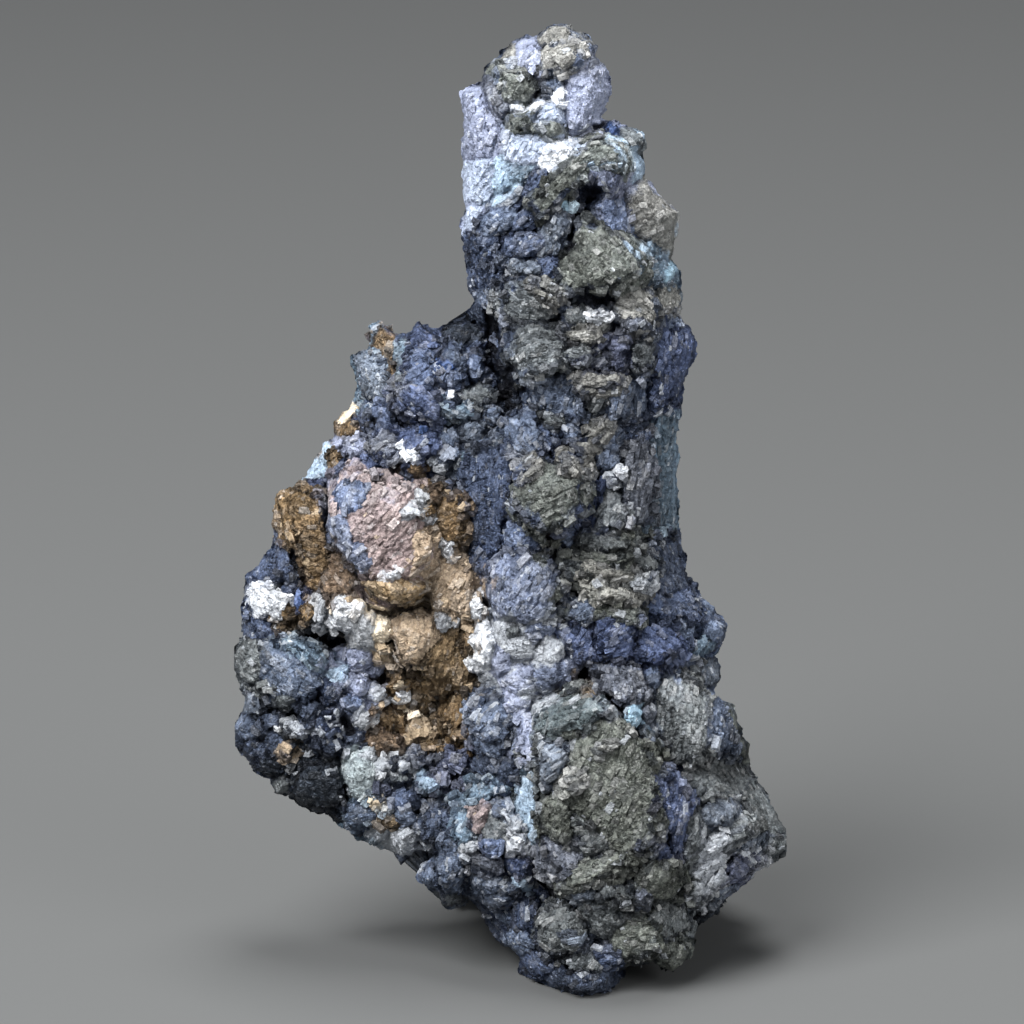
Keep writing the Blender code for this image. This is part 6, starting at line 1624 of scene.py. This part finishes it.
def tarnished_sulphide():
    """Dull metal under tarnish: the stored colour with its painted light and shade, uneven from flake to flake,
    with flakes and grit as bumps.

    Each layer of flakes is a pattern of cells, and each cell a small plane tilted by its own random vector.
    """
    material = bpy.data.materials.new("tarnished_sulphide")
    material.use_nodes = True
    tree = material.node_tree
    shader = tree.nodes["Principled BSDF"]
    start = Wire(tree)
    place = start.out(start.node("ShaderNodeTexCoord"), "Object").scaled(1.0 / MM)
    paint = start.out(start.node("ShaderNodeAttribute", {"attribute_name": "tarnish"}), "Color")
    metal = start.out(start.node("ShaderNodeAttribute", {"attribute_name": "metal"}), "Fac")
    noise = start.node("ShaderNodeTexNoise", (), Vector=place, Scale=FLAKE_BEND[0], Detail=1.0)
    spot = place.vector_math("ADD", start.out(noise, "Color").centred().scaled(FLAKE_BEND[1]))
    relief = 0.0
    light = FLAKE_LIGHT
    for scale, tilt, tone in FLAKES:
        cells = start.node("ShaderNodeTexVoronoi", {"feature": "F1"}, Vector=spot, Scale=scale)
        gap = spot.vector_math("SUBTRACT", start.out(cells, "Position"))
        colour = start.out(cells, "Color")
        relief = gap.vector_math("DOT_PRODUCT", colour.centred()) * tilt + relief
        random = start.out(start.node("ShaderNodeSeparateColor", (), Color=colour), 1)
        light = random * tone + light
    grit = start.node("ShaderNodeTexNoise", (), Vector=place, Scale=GRIT[0], Detail=2.0, Roughness=0.7)
    relief = start.out(grit) * GRIT[1] + relief
    bump = start.node("ShaderNodeBump", (), Height=relief * MM, Strength=1.0, Distance=1.0)
    tree.links.new(bump.outputs[0], shader.inputs["Normal"])
    lightness = start.out(start.node("ShaderNodeCombineXYZ", (), X=light, Y=light, Z=light))
    lit = paint.vector_math("MULTIPLY", lightness)
    tree.links.new(lit.socket, shader.inputs["Base Color"])
    tree.links.new(metal.socket, shader.inputs["Metallic"])
    roughness = bpy.context.scene.chalcocite_shape.dullness - metal * 0.35 - random * 0.15
    tree.links.new(roughness.socket, shader.inputs["Roughness"])
    return material


class ChalcociteShape(bpy.types.PropertyGroup):
    """Sizes and finish of the stone's surface."""

    pitch: bpy.props.FloatProperty(
        name="Front mesh", description="Spacing of the front's points, in mm", default=0.115, min=0.1
    )
    voxel: bpy.props.FloatProperty(
        name="Skin mesh", description="Side of the skin's quads, in mm", default=0.4, min=0.35
    )
    facet: bpy.props.FloatProperty(
        name="Facet size", description="Spacing of the skin's larger crystals, in mm", default=2.4
    )
    scales: bpy.props.FloatProperty(
        name="Scales", description="Share of the front's points that carry a scale", default=0.05, min=0.0
    )
    grains: bpy.props.FloatProperty(
        name="Grains", description="Share of the front's points that carry a grain", default=0.07, min=0.0
    )
    back_grains: bpy.props.FloatProperty(
        name="Back grains", description="Share of the skin's points that carry a grain", default=0.14, min=0.0
    )
    dullness: bpy.props.FloatProperty(
        name="Dullness", description="Roughness of the least metallic tarnish", default=0.85, subtype="FACTOR"
    )


class ChalcociteTarnish(bpy.types.PropertyGroup):
    """The tarnish's colours, one for each named paint."""

    __annotations__ = {
        paint: bpy.props.FloatVectorProperty(
            name=paint, description=f"Tarnish called {paint}", default=from_srgb(code), subtype="COLOR"
        )
        for paint, code in PALETTE.items()
    }


class ChalcociteStage(bpy.types.PropertyGroup):
    """Floor, lights and camera."""

    distance: bpy.props.FloatProperty(
        name="Camera distance", description="From the camera to the stone", default=0.6, unit="LENGTH"
    )
    floor: bpy.props.FloatVectorProperty(
        name="Floor", description="Colour of floor and backdrop", default=(0.068, 0.07, 0.07), subtype="COLOR"
    )
    key: bpy.props.FloatProperty(
        name="Key light", description="Power of the light at the upper left", default=15.5, unit="POWER"
    )
    fill: bpy.props.FloatProperty(
        name="Fill light", description="Power of the light at the right", default=3.5, unit="POWER"
    )
    top: bpy.props.FloatProperty(
        name="Top light", description="Power of the light above", default=8.0, unit="POWER"
    )
    room: bpy.props.FloatVectorProperty(
        name="Room", description="Colour of the light all round", default=(0.75, 0.78, 0.82), subtype="COLOR"
    )
    room_strength: bpy.props.FloatProperty(
        name="Room strength", description="Strength of the light all round", default=0.5, min=0.0
    )


class CHALCOCITE_OT_front(bpy.types.Operator):
    """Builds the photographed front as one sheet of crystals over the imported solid"""

    bl_idname = "chalcocite.front"
    bl_label = "Front"

    def execute(self, context):
        front = Front.read()
        flat, faces, inward, from_rim = front_sheet(context.scene.chalcocite_shape.pitch, front.outline)
        depth = front.depth_at(flat)
        base = from_seen(flat, depth)
        relief = front_relief(flat, base)
        depth = depth - relief["broad"] * smooth_step(-0.2, 1.4, from_rim)
        depth = depth + behind_front(flat, depth)
        depth = depth - relief["stands"] * smooth_step(-0.2, 0.7, from_rim)
        points = from_seen(flat, depth)
        normals = mesh_normals(points, faces)
        fine = druse(points)
        pale = smooth_step(*PALE_GROUND, zone_paint(flat, base).mean(axis=1))
        calm = relief["calm"] = np.maximum(relief["calm"], 0.8 * pale)
        facets = fine["calm"] * calm + fine["rough"] * (1.0 - calm) + relief["lamellae"]
        facets *= 0.4 + 0.6 * smooth_step(0.0, 1.0, from_rim)
        paint = front_paint(flat, points, relief, fine, facets)
        points = points + normals * facets[:, None]
        add_front_blocks(points, normals, paint, relief, from_rim)
        points, faces, source = with_skirt(points, faces, inward)
        up = seen_at(points[faces[:, 0]])[:, 1]
        for name, low, high in FRONT_BANDS:
            kept, band = np.unique(faces[(up >= low) & (up < high)], return_inverse=True)
            new_piece(name, points[kept], band.reshape(-1, 4), paint[source[kept]])
        return {"FINISHED"}


class CHALCOCITE_OT_skin(bpy.types.Operator):
    """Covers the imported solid's sides and back with a finely faceted skin"""

    bl_idname = "chalcocite.skin"
    bl_label = "Skin"

    def execute(self, context):
        shape = context.scene.chalcocite_shape
        front = Front.read()
        points, faces, normals = evenly_meshed(shape.voxel)
        large, number, edge = crystals_of(points, shape.facet, 3)
        lift = SKIN_LIFT * (large - large.mean()) + SKIN_WAVE[0] * rough_waves(points, SKIN_WAVE[1], 5)
        points = points + normals * lift[:, None]
        fine = druse(points)
        calm = SKIN_CALM * smooth_step(0.0, 0.25, edge)
        facets = fine["calm"] * calm + fine["rough"] * (1.0 - calm)
        seen = seen_at(points + normals * facets[:, None])
        flat = inside_outline(seen, front.outline)
        away = np.maximum(seen[:, 2], front.depth_at(flat) + SKIN_BEHIND)
        paint = worn_lit_and_shaded(zone_paint(flat, points), points, fine, facets, number, calm)
        # Painted shade in the seams between the skin's larger crystals
        paint = tinted(paint, SEAM_SHADE_TINT, smooth_step(0.2, 0.0, edge) * 0.7)
        points = from_seen(flat, away)
        piece = new_piece("stone_skin", points, faces, paint)
        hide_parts(NODE)
        add_back_blocks(points, mesh_normals(points, faces), paint)
        return {"FINISHED"}


def sweep_mesh():
    """The floor and the backdrop behind it as one strip, joined by a quarter round."""
    turn = np.linspace(0.0, math.pi / 2, SWEEP_STEPS)
    depth = SWEEP_START + SWEEP_RADIUS * np.sin(turn)
    depth = np.concatenate([[FLOOR_FRONT], depth, [SWEEP_START + SWEEP_RADIUS]])
    height = np.concatenate([[0.0], SWEEP_RADIUS * (1.0 - np.cos(turn)), [BACKDROP_TOP]])
    across = np.repeat([-FLOOR_HALF, FLOOR_HALF], len(depth))
    points = np.stack([across, np.tile(depth, 2), np.tile(height, 2)], axis=-1)
    row = np.arange(len(depth) - 1)
    faces = np.stack([row, row + len(depth), row + len(depth) + 1, row + 1], axis=-1)
    mesh = bpy.data.meshes.new("floor")
    mesh.from_pydata(points, [], faces)
    mesh.polygons.foreach_set("use_smooth", np.full(len(faces), True))
    return mesh


def stage_material(colour):
    """Matt paint of one colour."""
    material = bpy.data.materials.new("stage_grey")
    material.use_nodes = True
    shader = material.node_tree.nodes["Principled BSDF"]
    shader.inputs["Base Color"].default_value = (*colour, 1.0)
    shader.inputs["Roughness"].default_value = 0.9
    return material


def soft_light(name, place, side, power):
    """A square light that faces the stone."""
    light = bpy.data.lights.new(name, "AREA")
    light.shape = "SQUARE"
    light.size = side
    light.energy = power
    lamp = bpy.data.objects.new(name, light)
    lamp.location = place
    lamp.rotation_euler = (Vector(LIT_POINT) - Vector(place)).to_track_quat("-Z", "Y").to_euler()
    bpy.context.scene.collection.objects.link(lamp)


def room_light(colour, strength):
    """Even light from all round."""
    world = bpy.data.worlds.new("room")
    world.use_nodes = True
    background = world.node_tree.nodes["Background"]
    background.inputs["Color"].default_value = (*colour, 1.0)
    background.inputs["Strength"].default_value = strength
    bpy.context.scene.world = world


def front_camera(distance):
    """The camera that sees the front as the photograph does: the frame's middle on the line of sight."""
    camera = bpy.data.cameras.new("camera")
    camera.sensor_width = SENSOR_MM
    camera.lens = SENSOR_MM * distance / (FRAME_WIDTH * MM)
    camera.clip_start = 0.01
    holder = bpy.data.objects.new("camera", camera)
    height = (FRAME_UP - (DEPTH_MIDDLE - FOOT_FRONT_DEPTH) * math.sin(SIGHT_DOWN)) / math.cos(SIGHT_DOWN)
    aim = Vector(to_world(np.array([FRAME_ACROSS, DEPTH_MIDDLE, height])))
    sight = Vector(SIGHT)
    holder.location = aim - sight * distance
    holder.rotation_euler = sight.to_track_quat("-Z", "Y").to_euler()
    bpy.context.scene.collection.objects.link(holder)
    bpy.context.scene.camera = holder


class CHALCOCITE_OT_stage(bpy.types.Operator):
    """Sets a seamless floor, soft lights and the camera"""

    bl_idname = "chalcocite.stage"
    bl_label = "Stage"

    def execute(self, context):
        stage = context.scene.chalcocite_stage
        mesh = sweep_mesh()
        mesh.materials.append(stage_material(stage.floor))
        floor = bpy.data.objects.new("floor", mesh)
        context.scene.collection.objects.link(floor)
        for name, (place, side) in LIGHTS.items():
            soft_light(name + "_light", place, side, getattr(stage, name))
        room_light(stage.room, stage.room_strength)
        front_camera(stage.distance)
        context.scene.view_settings.view_transform = "Standard"
        return {"FINISHED"}


class CHALCOCITE_PT_panel(bpy.types.Panel):
    """Lists the stone's steps in the sidebar"""

    bl_idname = "CHALCOCITE_PT_panel"
    bl_label = "Chalcocite specimen"
    bl_space_type = "VIEW_3D"
    bl_region_type = "UI"
    bl_category = "Stone"

    def draw(self, context):
        for operator in STEPS:
            self.layout.operator(operator.bl_idname)


STEPS = (CHALCOCITE_OT_front, CHALCOCITE_OT_skin, CHALCOCITE_OT_stage)
GROUPS = {
    "chalcocite_shape": ChalcociteShape,
    "chalcocite_tarnish": ChalcociteTarnish,
    "chalcocite_stage": ChalcociteStage,
}


def register():
    """Registers the classes, and the groups as properties of the scene."""
    for kind in (*GROUPS.values(), *STEPS, CHALCOCITE_PT_panel):
        bpy.utils.register_class(kind)
    for name, group in GROUPS.items():
        setattr(bpy.types.Scene, name, bpy.props.PointerProperty(type=group))


def unregister():
    """Takes the groups and the classes away again."""
    for name in GROUPS:
        delattr(bpy.types.Scene, name)
    for kind in (*GROUPS.values(), *STEPS, CHALCOCITE_PT_panel):
        bpy.utils.unregister_class(kind)


def main():
    """Builds the stone and its stage."""
    register()
    bpy.ops.chalcocite.front()
    bpy.ops.chalcocite.skin()
    bpy.ops.chalcocite.stage()


if __name__ == "__main__":
    main()
